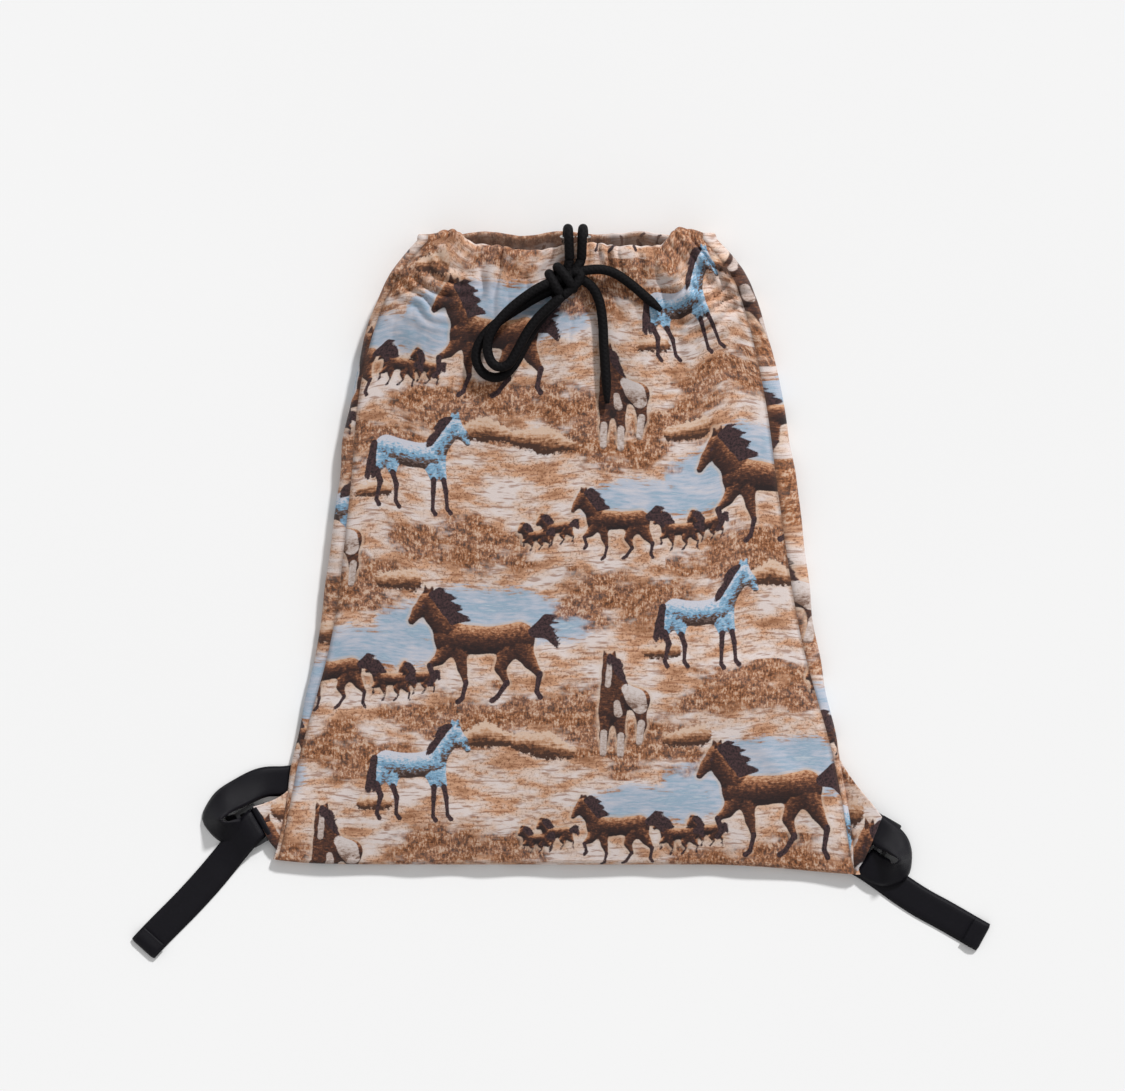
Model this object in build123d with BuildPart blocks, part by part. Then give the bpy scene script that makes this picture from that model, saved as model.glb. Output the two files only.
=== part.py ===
"""Drawstring backpack, empty and slack, lying on its back with the front panel upwards.

Frame: +X to the bag's right as seen from above, +Y towards the mouth, +Z up out of the front
panel. The origin is on the surface that the back panel rests on, in the middle of the bag.
All sizes are in millimetres.
"""

import os
from math import cos, pi, radians, sin, tan

from build123d import *

# Bag body
BOTTOM_Y = -208.0
MOUTH_SEAM_Y = 184.0
PANEL_T = 1.6
BACK_T = 3.6
SEAM_INSET_FRONT = 12.0
SEAM_INSET_BACK = 9.0
BOTTOM_STRIP_Y = -200.0
FRONT_SEAM_Z = 5.0
# The shell is drawn this far below the rest plane, then cut flat on it
TRIM_DEPTH = 0.5
# Larger than the bag, for cutting right through it
CUT_W = 500.0
CUT_H = 50.0
CUT_Y = 30.0
# y, half width, height of the side, height of the crown
SECTIONS = [
    (BOTTOM_Y, 195.5, 7.5, 8.5),
    (-190.0, 192.0, 9.0, 13.0),
    (-139.0, 182.0, 10.0, 20.0),
    (-59.0, 165.5, 12.0, 26.0),
    (33.0, 153.5, 14.0, 28.5),
    (110.0, 141.0, 17.0, 29.5),
    (150.0, 130.0, 21.0, 29.8),
    (MOUTH_SEAM_Y, 106.0, 28.0, 30.0),
]

# Casing round the mouth, a hollow hem with the cord inside it
CASING_HALF_W = 106.0
CASING_H = 30.0
CASING_WALL = 10.0
CASING_TOP_Y = 212.0
CHANNEL_Y = 195.0
CHANNEL_R = 3.4
# The cord inside stops short of the eyelets' axes, where the free strands begin
CORD_TURN_GAP = 4.0
# Cut past each eyelet's outer face
HOLE_OVERRUN = 8.0

# Drawstring
CORD_R = 3.0
RIM_TILT = 15.0
EYELET_X = (0.0, 11.0)
EYELET_Y = 204.0
EYELET_Z = 25.2
EYELET_R = 4.8
EYELET_HOLE_R = 3.25
FLANGE_T = 0.8
BARREL_T = 0.5
BARREL_L = 4.0
STRAND_GAP = 1.4

# Bow knot
KNOT_SIZE = (29.0, 25.0, 13.0)
KNOT_CENTRE = (1.0, 177.0)
KNOT_BOTTOM = 30.8

# Webbing
WEB_W = 20.0
WEB_T = 1.6
WEB_Z = 0.2
GROOVE_W = 22.4
GROOVE_H = 2.2
HEM_L = 10.0
HEM_EXTRA = 1.4

# Lower tabs and sliders
TAB_T = 2.2
TAB_Z = 4.0
TAB_ANGLE = 30.0
LEFT_TAB_OUTLINE = [(-185.5, -152.0), (-205.0, -168.5), (-194.4, -187.0), (-192.8, -187.0)]
LEFT_TAB_EDGE = (-199.5, -178.0)
RIGHT_TAB_OUTLINE = [(188.2, -160.0), (206.6, -176.5), (196.0, -195.0), (195.0, -195.0)]
RIGHT_TAB_EDGE = (201.1, -186.0)
SLIDER_W = 26.4
SLIDER_T = 2.2
SLIDER_BAR = 2.4
BAR_PITCH = 6.0
SLIDER_Z = 2.6
KEEPER_S = 3.2
KEEPER_R_IN = 1.9
KEEPER_R_OUT = 2.7
KEEPER_TONGUE = 4.0


def section_sketch(y, half_w, floor_z, side_z, crown_z):
    """Closed profile across the bag at one y: flat back, round sides, crowned front."""
    round_r = (side_z - floor_z) / 2
    with BuildSketch(Plane.XZ.offset(-y)) as profile:
        with BuildLine():
            Line((-half_w + round_r, floor_z), (half_w - round_r, floor_z))
            ThreePointArc(
                (half_w - round_r, floor_z), (half_w, floor_z + round_r), (half_w - round_r, side_z)
            )
            ThreePointArc(
                (half_w - round_r, side_z), (0, crown_z), (-half_w + round_r, side_z)
            )
            ThreePointArc(
                (-half_w + round_r, side_z), (-half_w, floor_z + round_r), (-half_w + round_r, floor_z)
            )
        make_face()
    return profile.sketch


def plan_outline(inset, y_from):
    """Plan outline of the bag, inset from its edge, above one y."""
    right = [(half_w - inset, y) for y, half_w, _, _ in SECTIONS if y > y_from]
    low_w = SECTIONS[0][1] - inset
    right = [(low_w, y_from)] + right
    top = (right[-1][0], MOUTH_SEAM_Y + 1)
    return right + [top] + [(-x, y) for x, y in reversed(right + [top])]


def corner_radii(points):
    """Radius of each corner's arc: 0.45 of the shorter run over the tangent of half the turn."""
    found = []
    for before, here, after in zip(points, points[1:], points[2:]):
        run_in = Vector(*here) - Vector(*before)
        run_out = Vector(*after) - Vector(*here)
        turn = run_in.get_angle(run_out)
        found.append(0.45 * min(run_in.length, run_out.length) / tan(radians(turn / 2)))
    return found


def cord_tube(label, points):
    """Round cord along straight runs joined by tangent arcs."""
    arcs = corner_radii(points)
    with BuildPart() as tube:
        with BuildLine() as route:
            FilletPolyline(*points, radius=arcs)
        with BuildSketch(Plane(origin=route.line @ 0, z_dir=route.line % 0)):
            Circle(CORD_R)
        sweep()
    length = route.wire().length
    ratio = tube.part.volume / (pi * CORD_R**2 * length)
    print(label, "length %.1f" % length, "volume ratio %.3f" % ratio)
    print("   radii", ["%.1f" % r for r in arcs])
    return tube.part


def web_band(points, width, low_z, thickness):
    """Flat webbing that lies on its face and turns in its own plane."""
    radii = [min(r, 60.0) for r in corner_radii(points)]
    with BuildPart() as band:
        with BuildLine(Plane.XY.offset(low_z + thickness / 2)) as route:
            FilletPolyline(*points, radius=radii)
        start = Plane(origin=route.line @ 0, x_dir=(0, 0, 1), z_dir=route.line % 0)
        with BuildSketch(start):
            Rectangle(thickness, width)
        sweep()
    return band.part


def save(part, label):
    """Give the piece its name and write it as its own file."""
    part.label = label
    export_step(part, "parts/" + label + ".step")


os.makedirs("parts", exist_ok=True)

# ---------------------------------------------------------------- bag shell
outer_faces = [section_sketch(y, w, -TRIM_DEPTH, s, h) for y, w, s, h in SECTIONS]
inner_faces = []
for y, w, s, h in SECTIONS:
    inner_y = y + PANEL_T if y == BOTTOM_Y else y
    inner_faces.append(section_sketch(inner_y, w - PANEL_T, BACK_T, s - PANEL_T, h - PANEL_T))

with BuildPart() as shell:
    loft(outer_faces)
    loft(inner_faces, mode=Mode.SUBTRACT)
    split(bisect_by=Plane.XY, keep=Keep.TOP)

# ---------------------------------------------------------------- strap routes
# Plan routes of the webbing, from the anchor at the top of the back to the lower side
STRAP_ROUTE_LEFT = [
    (-22.0, 149.0),
    (-30.0, 95.0),
    (-52.0, 25.0),
    (-88.0, -50.0),
    (-126.0, -115.0),
    (-153.0, -145.0),
    (-186.0, -153.0),
]
STRAP_ROUTE_RIGHT = [
    (22.0, 149.0),
    (30.0, 95.0),
    (52.0, 25.0),
    (92.0, -55.0),
    (142.0, -130.0),
    (192.5, -177.0),
]
# The groove over each strap runs on past the side of the bag
GROOVE_END_LEFT = (-194.0, -155.0)
GROOVE_END_RIGHT = (204.0, -187.7)
ANCHOR_SIZE = (76.0, 30.0)
ANCHOR_Y = 166.0

left_groove = web_band(STRAP_ROUTE_LEFT[:-1] + [GROOVE_END_LEFT], GROOVE_W, -1.0, GROOVE_H + 1.0)
right_groove = web_band(STRAP_ROUTE_RIGHT[:-1] + [GROOVE_END_RIGHT], GROOVE_W, -1.0, GROOVE_H + 1.0)
with BuildPart() as anchor_pocket:
    with BuildSketch(Plane.XY.offset(-1.0)):
        with Locations((0, ANCHOR_Y)):
            Rectangle(ANCHOR_SIZE[0] + 1, ANCHOR_SIZE[1] + 1)
    extrude(amount=GROOVE_H + 1.0)

# ---------------------------------------------------------------- panels cut from the shell
with BuildPart() as front_panel:
    add(shell.part)
    with BuildSketch(Plane.XY.offset(FRONT_SEAM_Z)):
        Polygon(*plan_outline(SEAM_INSET_FRONT, BOTTOM_STRIP_Y), align=None)
    extrude(amount=CUT_H, mode=Mode.INTERSECT)

with BuildPart() as back_panel:
    add(shell.part)
    with BuildSketch(Plane.XY.offset(-1.0)):
        Polygon(*plan_outline(SEAM_INSET_BACK, BOTTOM_STRIP_Y), align=None)
    extrude(amount=BACK_T + 1.0, mode=Mode.INTERSECT)
    add([left_groove, right_groove, anchor_pocket.part], mode=Mode.SUBTRACT)

with BuildPart() as bottom_strip:
    add(shell.part)
    with BuildSketch(Plane.XY.offset(-1.0)):
        with Locations((0, BOTTOM_STRIP_Y)):
            Rectangle(CUT_W, CUT_Y, align=(Align.CENTER, Align.MAX))
    extrude(amount=CUT_H, mode=Mode.INTERSECT)

with BuildPart() as side_ring:
    add(shell.part)
    with BuildSketch(Plane.XY.offset(FRONT_SEAM_Z)):
        Polygon(*plan_outline(SEAM_INSET_FRONT, BOTTOM_STRIP_Y), align=None)
    extrude(amount=CUT_H, mode=Mode.SUBTRACT)
    with BuildSketch(Plane.XY.offset(-1.0)):
        Polygon(*plan_outline(SEAM_INSET_BACK, BOTTOM_STRIP_Y), align=None)
    extrude(amount=BACK_T + 1.0, mode=Mode.SUBTRACT)
    with BuildSketch(Plane.XY.offset(-1.0)):
        with Locations((0, BOTTOM_STRIP_Y)):
            Rectangle(CUT_W, CUT_Y, align=(Align.CENTER, Align.MAX))
    extrude(amount=CUT_H, mode=Mode.SUBTRACT)
    add([left_groove, right_groove], mode=Mode.SUBTRACT)

left_side, right_side = side_ring.part.solids().sort_by(Axis.X)
save(front_panel.part, "front_panel")
save(back_panel.part, "back_panel")
save(bottom_strip.part, "bottom_strip")
save(Part(left_side.wrapped), "left_gusset")
save(Part(right_side.wrapped), "right_gusset")

# ---------------------------------------------------------------- casing and its cord
MID_Z = CASING_H / 2 - 0.5
EYELET_NORMAL = Vector(0, cos(radians(RIM_TILT)), sin(radians(RIM_TILT)))
CHANNEL_HALF_W = CASING_HALF_W - CASING_H / 2
CHANNEL_LOW_Z = CASING_WALL / 2
CHANNEL_HIGH_Z = CASING_H - CASING_WALL / 2


def channel_path(start_x, end_x):
    """Line of the cord inside the casing, from one eyelet round the back to the other."""
    turn_r = (CHANNEL_HIGH_Z - CHANNEL_LOW_Z) / 2
    turn_z = (CHANNEL_HIGH_Z + CHANNEL_LOW_Z) / 2
    with BuildLine(Plane.XZ.offset(-CHANNEL_Y)) as path:
        Line((start_x, CHANNEL_HIGH_Z), (-CHANNEL_HALF_W, CHANNEL_HIGH_Z))
        ThreePointArc(
            (-CHANNEL_HALF_W, CHANNEL_HIGH_Z),
            (-CHANNEL_HALF_W - turn_r, turn_z),
            (-CHANNEL_HALF_W, CHANNEL_LOW_Z),
        )
        Line((-CHANNEL_HALF_W, CHANNEL_LOW_Z), (CHANNEL_HALF_W, CHANNEL_LOW_Z))
        ThreePointArc(
            (CHANNEL_HALF_W, CHANNEL_LOW_Z),
            (CHANNEL_HALF_W + turn_r, turn_z),
            (CHANNEL_HALF_W, CHANNEL_HIGH_Z),
        )
        Line((CHANNEL_HALF_W, CHANNEL_HIGH_Z), (end_x, CHANNEL_HIGH_Z))
    return path


def channel_tube(radius, start_x, end_x):
    """Round solid along the channel."""
    with BuildPart() as tube:
        route = channel_path(start_x, end_x)
        add(route.line)
        with BuildSketch(Plane(origin=(start_x, CHANNEL_Y, CHANNEL_HIGH_Z), z_dir=(-1, 0, 0))):
            Circle(radius)
        sweep(path=route.line)
    return tube.part


# Openings where the cord turns out of the channel, one behind each eyelet
eyelet_planes = [
    Plane(origin=(x, EYELET_Y, EYELET_Z), z_dir=EYELET_NORMAL) for x in EYELET_X
]
with BuildPart() as eyelet_holes:
    for plane in eyelet_planes:
        with BuildSketch(plane):
            Circle(EYELET_HOLE_R + BARREL_T)
        extrude(amount=-(EYELET_Y - CHANNEL_Y))
        with BuildSketch(plane):
            Circle(EYELET_HOLE_R + BARREL_T)
        extrude(amount=HOLE_OVERRUN)

with BuildPart() as casing_ring:
    with BuildSketch(Plane.XZ.offset(-MOUTH_SEAM_Y)):
        with Locations((0, CASING_H / 2)):
            SlotOverall(2 * CASING_HALF_W, CASING_H)
            SlotOverall(
                2 * (CASING_HALF_W - CASING_WALL), CASING_H - 2 * CASING_WALL, mode=Mode.SUBTRACT
            )
    extrude(amount=-(CASING_TOP_Y - MOUTH_SEAM_Y))
    add(channel_tube(CHANNEL_R, EYELET_X[0], EYELET_X[1]), mode=Mode.SUBTRACT)

with BuildPart() as front_casing:
    add(casing_ring.part)
    split(bisect_by=Plane.XY.offset(MID_Z), keep=Keep.TOP)
    split(bisect_by=eyelet_planes[0], keep=Keep.BOTTOM)
    add(eyelet_holes.part, mode=Mode.SUBTRACT)

with BuildPart() as back_casing:
    add(casing_ring.part)
    split(bisect_by=Plane.XY.offset(MID_Z), keep=Keep.BOTTOM)

save(front_casing.part, "front_casing")
save(back_casing.part, "back_casing")
save(channel_tube(CORD_R, EYELET_X[0] - CORD_TURN_GAP, EYELET_X[1] + CORD_TURN_GAP), "casing_cord")

# ---------------------------------------------------------------- eyelets and washers
for side, plane in zip(("left", "right"), eyelet_planes):
    with BuildPart() as eyelet:
        with BuildSketch(plane):
            Circle(EYELET_R)
            Circle(EYELET_HOLE_R, mode=Mode.SUBTRACT)
        extrude(amount=FLANGE_T)
        with BuildSketch(plane):
            Circle(EYELET_HOLE_R + BARREL_T)
            Circle(EYELET_HOLE_R, mode=Mode.SUBTRACT)
        extrude(amount=-BARREL_L)
    save(eyelet.part, side + "_eyelet")

# ---------------------------------------------------------------- bow knot
with BuildPart() as bow_knot:
    with BuildSketch(Plane.XY.offset(KNOT_BOTTOM)):
        with Locations(KNOT_CENTRE):
            RectangleRounded(KNOT_SIZE[0], KNOT_SIZE[1], 8.0)
    extrude(amount=KNOT_SIZE[2])
    fillet(bow_knot.edges().group_by(Axis.Z)[-1], radius=4.5)
    fillet(bow_knot.edges().group_by(Axis.Z)[0], radius=3.0)
save(bow_knot.part, "bow_knot")
KNOT_BACK_Y = KNOT_CENTRE[1] + KNOT_SIZE[1] / 2

# ---------------------------------------------------------------- free cord
# Each strand leaves its eyelet, turns over the rim and comes down to the knot
eyelet_exit = eyelet_planes[0].origin + EYELET_NORMAL * (FLANGE_T - BARREL_L)


def strand_route(start_x, knot_x):
    """Points of one strand from inside its eyelet to the back of the knot."""
    shift = knot_x - start_x
    start_z = eyelet_exit.Z
    return [
        (start_x, eyelet_exit.Y, start_z),
        (start_x + 0.1 * shift, 206.5, 25.9),
        (start_x + 0.2 * shift, 210.4, 29.5),
        (start_x + 0.4 * shift, 210.9, 35.6),
        (start_x + 0.6 * shift, 207.2, 40.2),
        (start_x + 0.8 * shift, 200.0, 40.6),
        (knot_x, KNOT_BACK_Y + STRAND_GAP, 37.2),
    ]


STRAND_ROUTES = {
    "left_cord_strand": strand_route(EYELET_X[0], 1.6),
    "right_cord_strand": strand_route(EYELET_X[1], 9.4),
}
OUTER_LOOP_ROUTE = [
    (-4.0, 173.0, 34.0),
    (-17.0, 167.5, 34.0),
    (-31.0, 159.0, 33.6),
    (-46.0, 149.5, 33.2),
    (-57.0, 138.5, 33.0),
    (-61.0, 125.5, 32.8),
    (-54.5, 114.0, 32.8),
    (-42.5, 112.5, 32.8),
    (-33.5, 122.5, 32.8),
    (-27.0, 136.0, 33.0),
    (-18.5, 150.5, 33.4),
    (-8.5, 161.0, 34.0),
    (0.0, 170.0, 34.0),
]
INNER_LOOP_ROUTE = [
    (-2.0, 178.5, 38.6),
    (-14.5, 174.0, 40.6),
    (-28.0, 165.5, 40.5),
    (-40.5, 155.0, 40.2),
    (-50.0, 143.0, 39.6),
    (-53.0, 131.0, 38.4),
    (-48.5, 120.0, 38.4),
    (-39.0, 119.5, 39.2),
    (-33.0, 129.5, 39.7),
    (-25.0, 145.0, 40.2),
    (-14.5, 157.0, 40.6),
    (-3.0, 166.0, 40.9),
]
LONG_TAIL_ROUTE = [
    (4.0, 180.0, 36.0),
    (14.0, 176.0, 36.0),
    (21.0, 165.5, 34.6),
    (23.5, 150.5, 33.6),
    (24.0, 133.0, 33.2),
    (25.6, 115.0, 33.0),
    (26.3, 96.0, 32.8),
]
SHORT_TAIL_ROUTE = [
    (3.0, 181.0, 38.4),
    (16.0, 184.3, 37.8),
    (29.0, 183.0, 36.0),
    (40.5, 175.5, 34.6),
    (51.5, 166.0, 33.8),
    (61.8, 157.0, 33.6),
]
FREE_ROUTES = {
    "outer_bow_loop": OUTER_LOOP_ROUTE,
    "inner_bow_loop": INNER_LOOP_ROUTE,
    "long_cord_tail": LONG_TAIL_ROUTE,
    "short_cord_tail": SHORT_TAIL_ROUTE,
}
for label, points in STRAND_ROUTES.items():
    save(cord_tube(label, points), label)
for label, points in FREE_ROUTES.items():
    with BuildPart() as outside_knot:
        add(cord_tube(label, points))
        add(bow_knot.part, mode=Mode.SUBTRACT)
    pieces = outside_knot.part.solids().sort_by(SortBy.VOLUME)
    print("   solids outside the knot", [round(p.volume) for p in pieces])
    save(Part(pieces[-1].wrapped), label)

# ---------------------------------------------------------------- shoulder straps
save(web_band(STRAP_ROUTE_LEFT, WEB_W, WEB_Z, WEB_T), "left_shoulder_strap")
save(web_band(STRAP_ROUTE_RIGHT, WEB_W, WEB_Z, WEB_T), "right_shoulder_strap")

with BuildPart() as strap_anchor_patch:
    with BuildSketch(Plane.XY.offset(WEB_Z)):
        with Locations((0, ANCHOR_Y)):
            RectangleRounded(ANCHOR_SIZE[0], ANCHOR_SIZE[1], 3.0)
    extrude(amount=WEB_T)
save(strap_anchor_patch.part, "strap_anchor_patch")

LEFT_LOOP_ROUTE = [
    (-186.6, -153.2),
    (-209.0, -158.0),
    (-226.0, -164.5),
    (-236.0, -177.0),
    (-229.0, -190.0),
    (-214.0, -191.0),
    (-206.0, -184.5),
]
RIGHT_LOOP_ROUTE = [
    (204.0, -180.0),
    (217.0, -187.0),
    (223.5, -200.0),
    (215.0, -213.0),
    (199.0, -211.0),
]
RIGHT_LOOP_Z = 7.0
save(web_band(LEFT_LOOP_ROUTE, WEB_W, WEB_Z, WEB_T), "left_strap_loop")
save(web_band(RIGHT_LOOP_ROUTE, WEB_W, RIGHT_LOOP_Z, WEB_T), "right_strap_loop")


# ---------------------------------------------------------------- tabs, keepers and sliders
def upright_plane(origin, direction):
    """Plane whose x runs along a level direction and whose y is straight up."""
    dx, dy = direction
    return Plane(origin=(origin[0], origin[1], 0), x_dir=(dx, dy, 0), z_dir=(dy, -dx, 0))


for side, sign, outline, edge in (
    ("left", -1, LEFT_TAB_OUTLINE, LEFT_TAB_EDGE),
    ("right", 1, RIGHT_TAB_OUTLINE, RIGHT_TAB_EDGE),
):
    out = (sign * cos(radians(TAB_ANGLE)), -sin(radians(TAB_ANGLE)))

    with BuildPart() as tab:
        with BuildSketch(Plane.XY.offset(TAB_Z)):
            Polygon(*outline, align=None)
        extrude(amount=TAB_T)
    save(tab.part, side + "_tab")

    # A short piece of webbing under the tab, turned round the slider's inner bar
    keeper_z = SLIDER_Z + SLIDER_T / 2
    with BuildPart() as keeper:
        with BuildSketch(upright_plane(edge, out)):
            with Locations((KEEPER_S, keeper_z)):
                Circle(KEEPER_R_OUT)
            with Locations((KEEPER_S, TAB_Z)):
                Rectangle(KEEPER_S + KEEPER_TONGUE, WEB_T, align=(Align.MAX, Align.MAX))
            with Locations((KEEPER_S, keeper_z)):
                Circle(KEEPER_R_IN, mode=Mode.SUBTRACT)
        extrude(amount=WEB_W / 2, both=True)
    save(keeper.part, side + "_slider_keeper")

    # Three-bar slider: inner bar in the keeper, webbing round the middle bar
    slider_plane = Plane(origin=(edge[0], edge[1], SLIDER_Z), x_dir=(out[0], out[1], 0), z_dir=(0, 0, 1))
    middle_s = KEEPER_S + BAR_PITCH
    slot_l = BAR_PITCH - SLIDER_BAR
    with BuildPart() as slider:
        with BuildSketch(slider_plane):
            with Locations((middle_s, 0)):
                RectangleRounded(2 * BAR_PITCH + SLIDER_BAR, SLIDER_W, 1.1)
            with Locations((middle_s - BAR_PITCH / 2, 0), (middle_s + BAR_PITCH / 2, 0)):
                Rectangle(slot_l, SLIDER_W - 2 * SLIDER_BAR, mode=Mode.SUBTRACT)
        extrude(amount=SLIDER_T)
    save(slider.part, side + "_slider")

# ---------------------------------------------------------------- strap tails
LEFT_TAIL_START = (-207.5, -182.6)
LEFT_TAIL_END = (-281.2, -264.3)
RIGHT_TAIL_START = (217.5, -225.2)
RIGHT_TAIL_END = (275.9, -256.9)
RIGHT_RETURN_L = 22.0
HINGE_GAP = 0.4
LEFT_TAIL_HIGH = 5.1
LEFT_TAIL_LOW = 2.1


def level_direction(start, end):
    """Unit direction and distance between two plan points."""
    run = Vector(end[0] - start[0], end[1] - start[1])
    return (run.X / run.length, run.Y / run.length), run.length


left_dir, left_length = level_direction(LEFT_TAIL_START, LEFT_TAIL_END)
with BuildPart() as left_strap_tail:
    with BuildSketch(upright_plane(LEFT_TAIL_START, left_dir)):
        with BuildLine():
            Polyline(
                (HINGE_GAP, LEFT_TAIL_HIGH),
                (9.0, LEFT_TAIL_HIGH),
                (24.0, LEFT_TAIL_LOW),
                (left_length - HEM_L, LEFT_TAIL_LOW),
                (left_length - HEM_L, LEFT_TAIL_LOW - HEM_EXTRA),
                (left_length, LEFT_TAIL_LOW - HEM_EXTRA),
                (left_length, LEFT_TAIL_LOW + WEB_T),
                (24.3, LEFT_TAIL_LOW + WEB_T),
                (9.3, LEFT_TAIL_HIGH + WEB_T),
                (HINGE_GAP, LEFT_TAIL_HIGH + WEB_T),
                close=True,
            )
        make_face()
    extrude(amount=WEB_W / 2, both=True)
save(left_strap_tail.part, "left_strap_tail")

right_dir, right_length = level_direction(RIGHT_TAIL_START, RIGHT_TAIL_END)
with BuildPart() as right_strap_tail:
    with BuildSketch(upright_plane(RIGHT_TAIL_START, right_dir)):
        with Locations((HINGE_GAP, WEB_Z)):
            Rectangle(right_length - HINGE_GAP, WEB_T, align=(Align.MIN, Align.MIN))
        with Locations((right_length, WEB_Z)):
            Rectangle(HEM_L, WEB_T + HEM_EXTRA, align=(Align.MAX, Align.MIN))
    extrude(amount=WEB_W / 2, both=True)
save(right_strap_tail.part, "right_strap_tail")

with BuildPart() as right_strap_return:
    with BuildSketch(upright_plane(RIGHT_TAIL_START, right_dir)):
        with Locations((-HINGE_GAP, WEB_Z)):
            Rectangle(RIGHT_RETURN_L, WEB_T, align=(Align.MAX, Align.MIN))
    extrude(amount=WEB_W / 2, both=True)
save(right_strap_return.part, "right_strap_return")
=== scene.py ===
"""Drawstring backpack lying on its back: cloth, webbing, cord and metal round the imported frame.

Lengths in the shape functions are millimetres, as in the design; M turns them into metres.
"""

import math
import random

import bmesh
import bpy
import numpy as np
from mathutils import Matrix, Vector


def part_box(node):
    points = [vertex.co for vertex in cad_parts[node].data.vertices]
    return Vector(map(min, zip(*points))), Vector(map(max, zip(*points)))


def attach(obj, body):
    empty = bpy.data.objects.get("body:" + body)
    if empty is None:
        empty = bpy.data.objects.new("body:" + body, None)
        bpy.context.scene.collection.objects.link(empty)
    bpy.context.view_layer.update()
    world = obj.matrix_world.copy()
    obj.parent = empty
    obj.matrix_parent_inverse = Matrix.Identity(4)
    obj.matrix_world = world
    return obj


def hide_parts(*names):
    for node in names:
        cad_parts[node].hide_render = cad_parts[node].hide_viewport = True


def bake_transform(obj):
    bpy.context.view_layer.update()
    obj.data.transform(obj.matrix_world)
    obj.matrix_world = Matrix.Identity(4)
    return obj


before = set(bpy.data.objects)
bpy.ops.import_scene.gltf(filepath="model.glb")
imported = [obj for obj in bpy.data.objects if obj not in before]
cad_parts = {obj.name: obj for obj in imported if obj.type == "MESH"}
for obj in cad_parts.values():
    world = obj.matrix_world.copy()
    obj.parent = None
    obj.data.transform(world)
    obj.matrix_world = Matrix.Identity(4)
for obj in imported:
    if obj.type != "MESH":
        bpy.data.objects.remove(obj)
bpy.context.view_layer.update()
M = 0.001
scene = bpy.context.scene

# ---------------------------------------------------------------- sizes
BOTTOM_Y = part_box("bottom_strip")[0][1] / M
START_Y = BOTTOM_Y + 3.0
RIM_FRONT_Y = 200.5
RIM_BACK_Y = 209.5
BACK_Z = 0.7
CLOTH_LOWEST = 0.35
WEB_HALF_W = 10.0
WEB_T = 1.4
WEB_LOWEST_CENTRE = 0.85
WEB_LOWEST = 0.12
CORD_R = 3.2
CASING_CORD_R = 2.6
# A cloth face's share runs from 0 at the bottom to 1 at the rim, then over the rolled edge
ROLL_SHARE = 0.03
HEM_MM_PER_SHARE = 250.0
GATHER_FULLNESS = 0.28
PLEATS = 10.5
# Seam value for the painted shade on the cloth inside the mouth, where little light reaches
PAINTED_MOUTH_SHADE = 1.6


# ---------------------------------------------------------------- camera, floor and light
def make_camera():
    """Looks straight down on the bag through a long lens, as a flat lay is shot."""
    view_width = 0.7425
    distance = 2.6
    data = bpy.data.cameras.new("camera")
    data.sensor_width = 36.0
    data.lens = data.sensor_width * distance / view_width
    data.clip_end = 20.0
    camera = bpy.data.objects.new("camera", data)
    camera.location = (-0.003, 0.003, distance + 0.015)
    scene.collection.objects.link(camera)
    scene.camera = camera


def make_lights():
    """One soft key from the upper right, and an even pale surround."""
    key = bpy.data.lights.new("key", "SUN")
    key.energy = 2.9
    key.angle = math.radians(5.5)
    key_object = bpy.data.objects.new("key", key)
    toward_light = Vector((0.40, 0.74, 0.54))
    key_object.rotation_euler = toward_light.to_track_quat("Z", "Y").to_euler()
    scene.collection.objects.link(key_object)
    world = bpy.data.worlds.new("surround")
    world.use_nodes = True
    background = world.node_tree.nodes["Background"]
    background.inputs["Color"].default_value = (1.0, 1.0, 1.0, 1.0)
    background.inputs["Strength"].default_value = 0.495
    scene.world = world
    scene.view_settings.view_transform = "Standard"


def srgb(r, g, b):
    """Linear colour with alpha from 0-255 display values."""
    channels = []
    for value in (r, g, b):
        share = value / 255.0
        linear = share / 12.92 if share <= 0.04045 else ((share + 0.055) / 1.055) ** 2.4
        channels.append(linear)
    return (*channels, 1.0)


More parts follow.
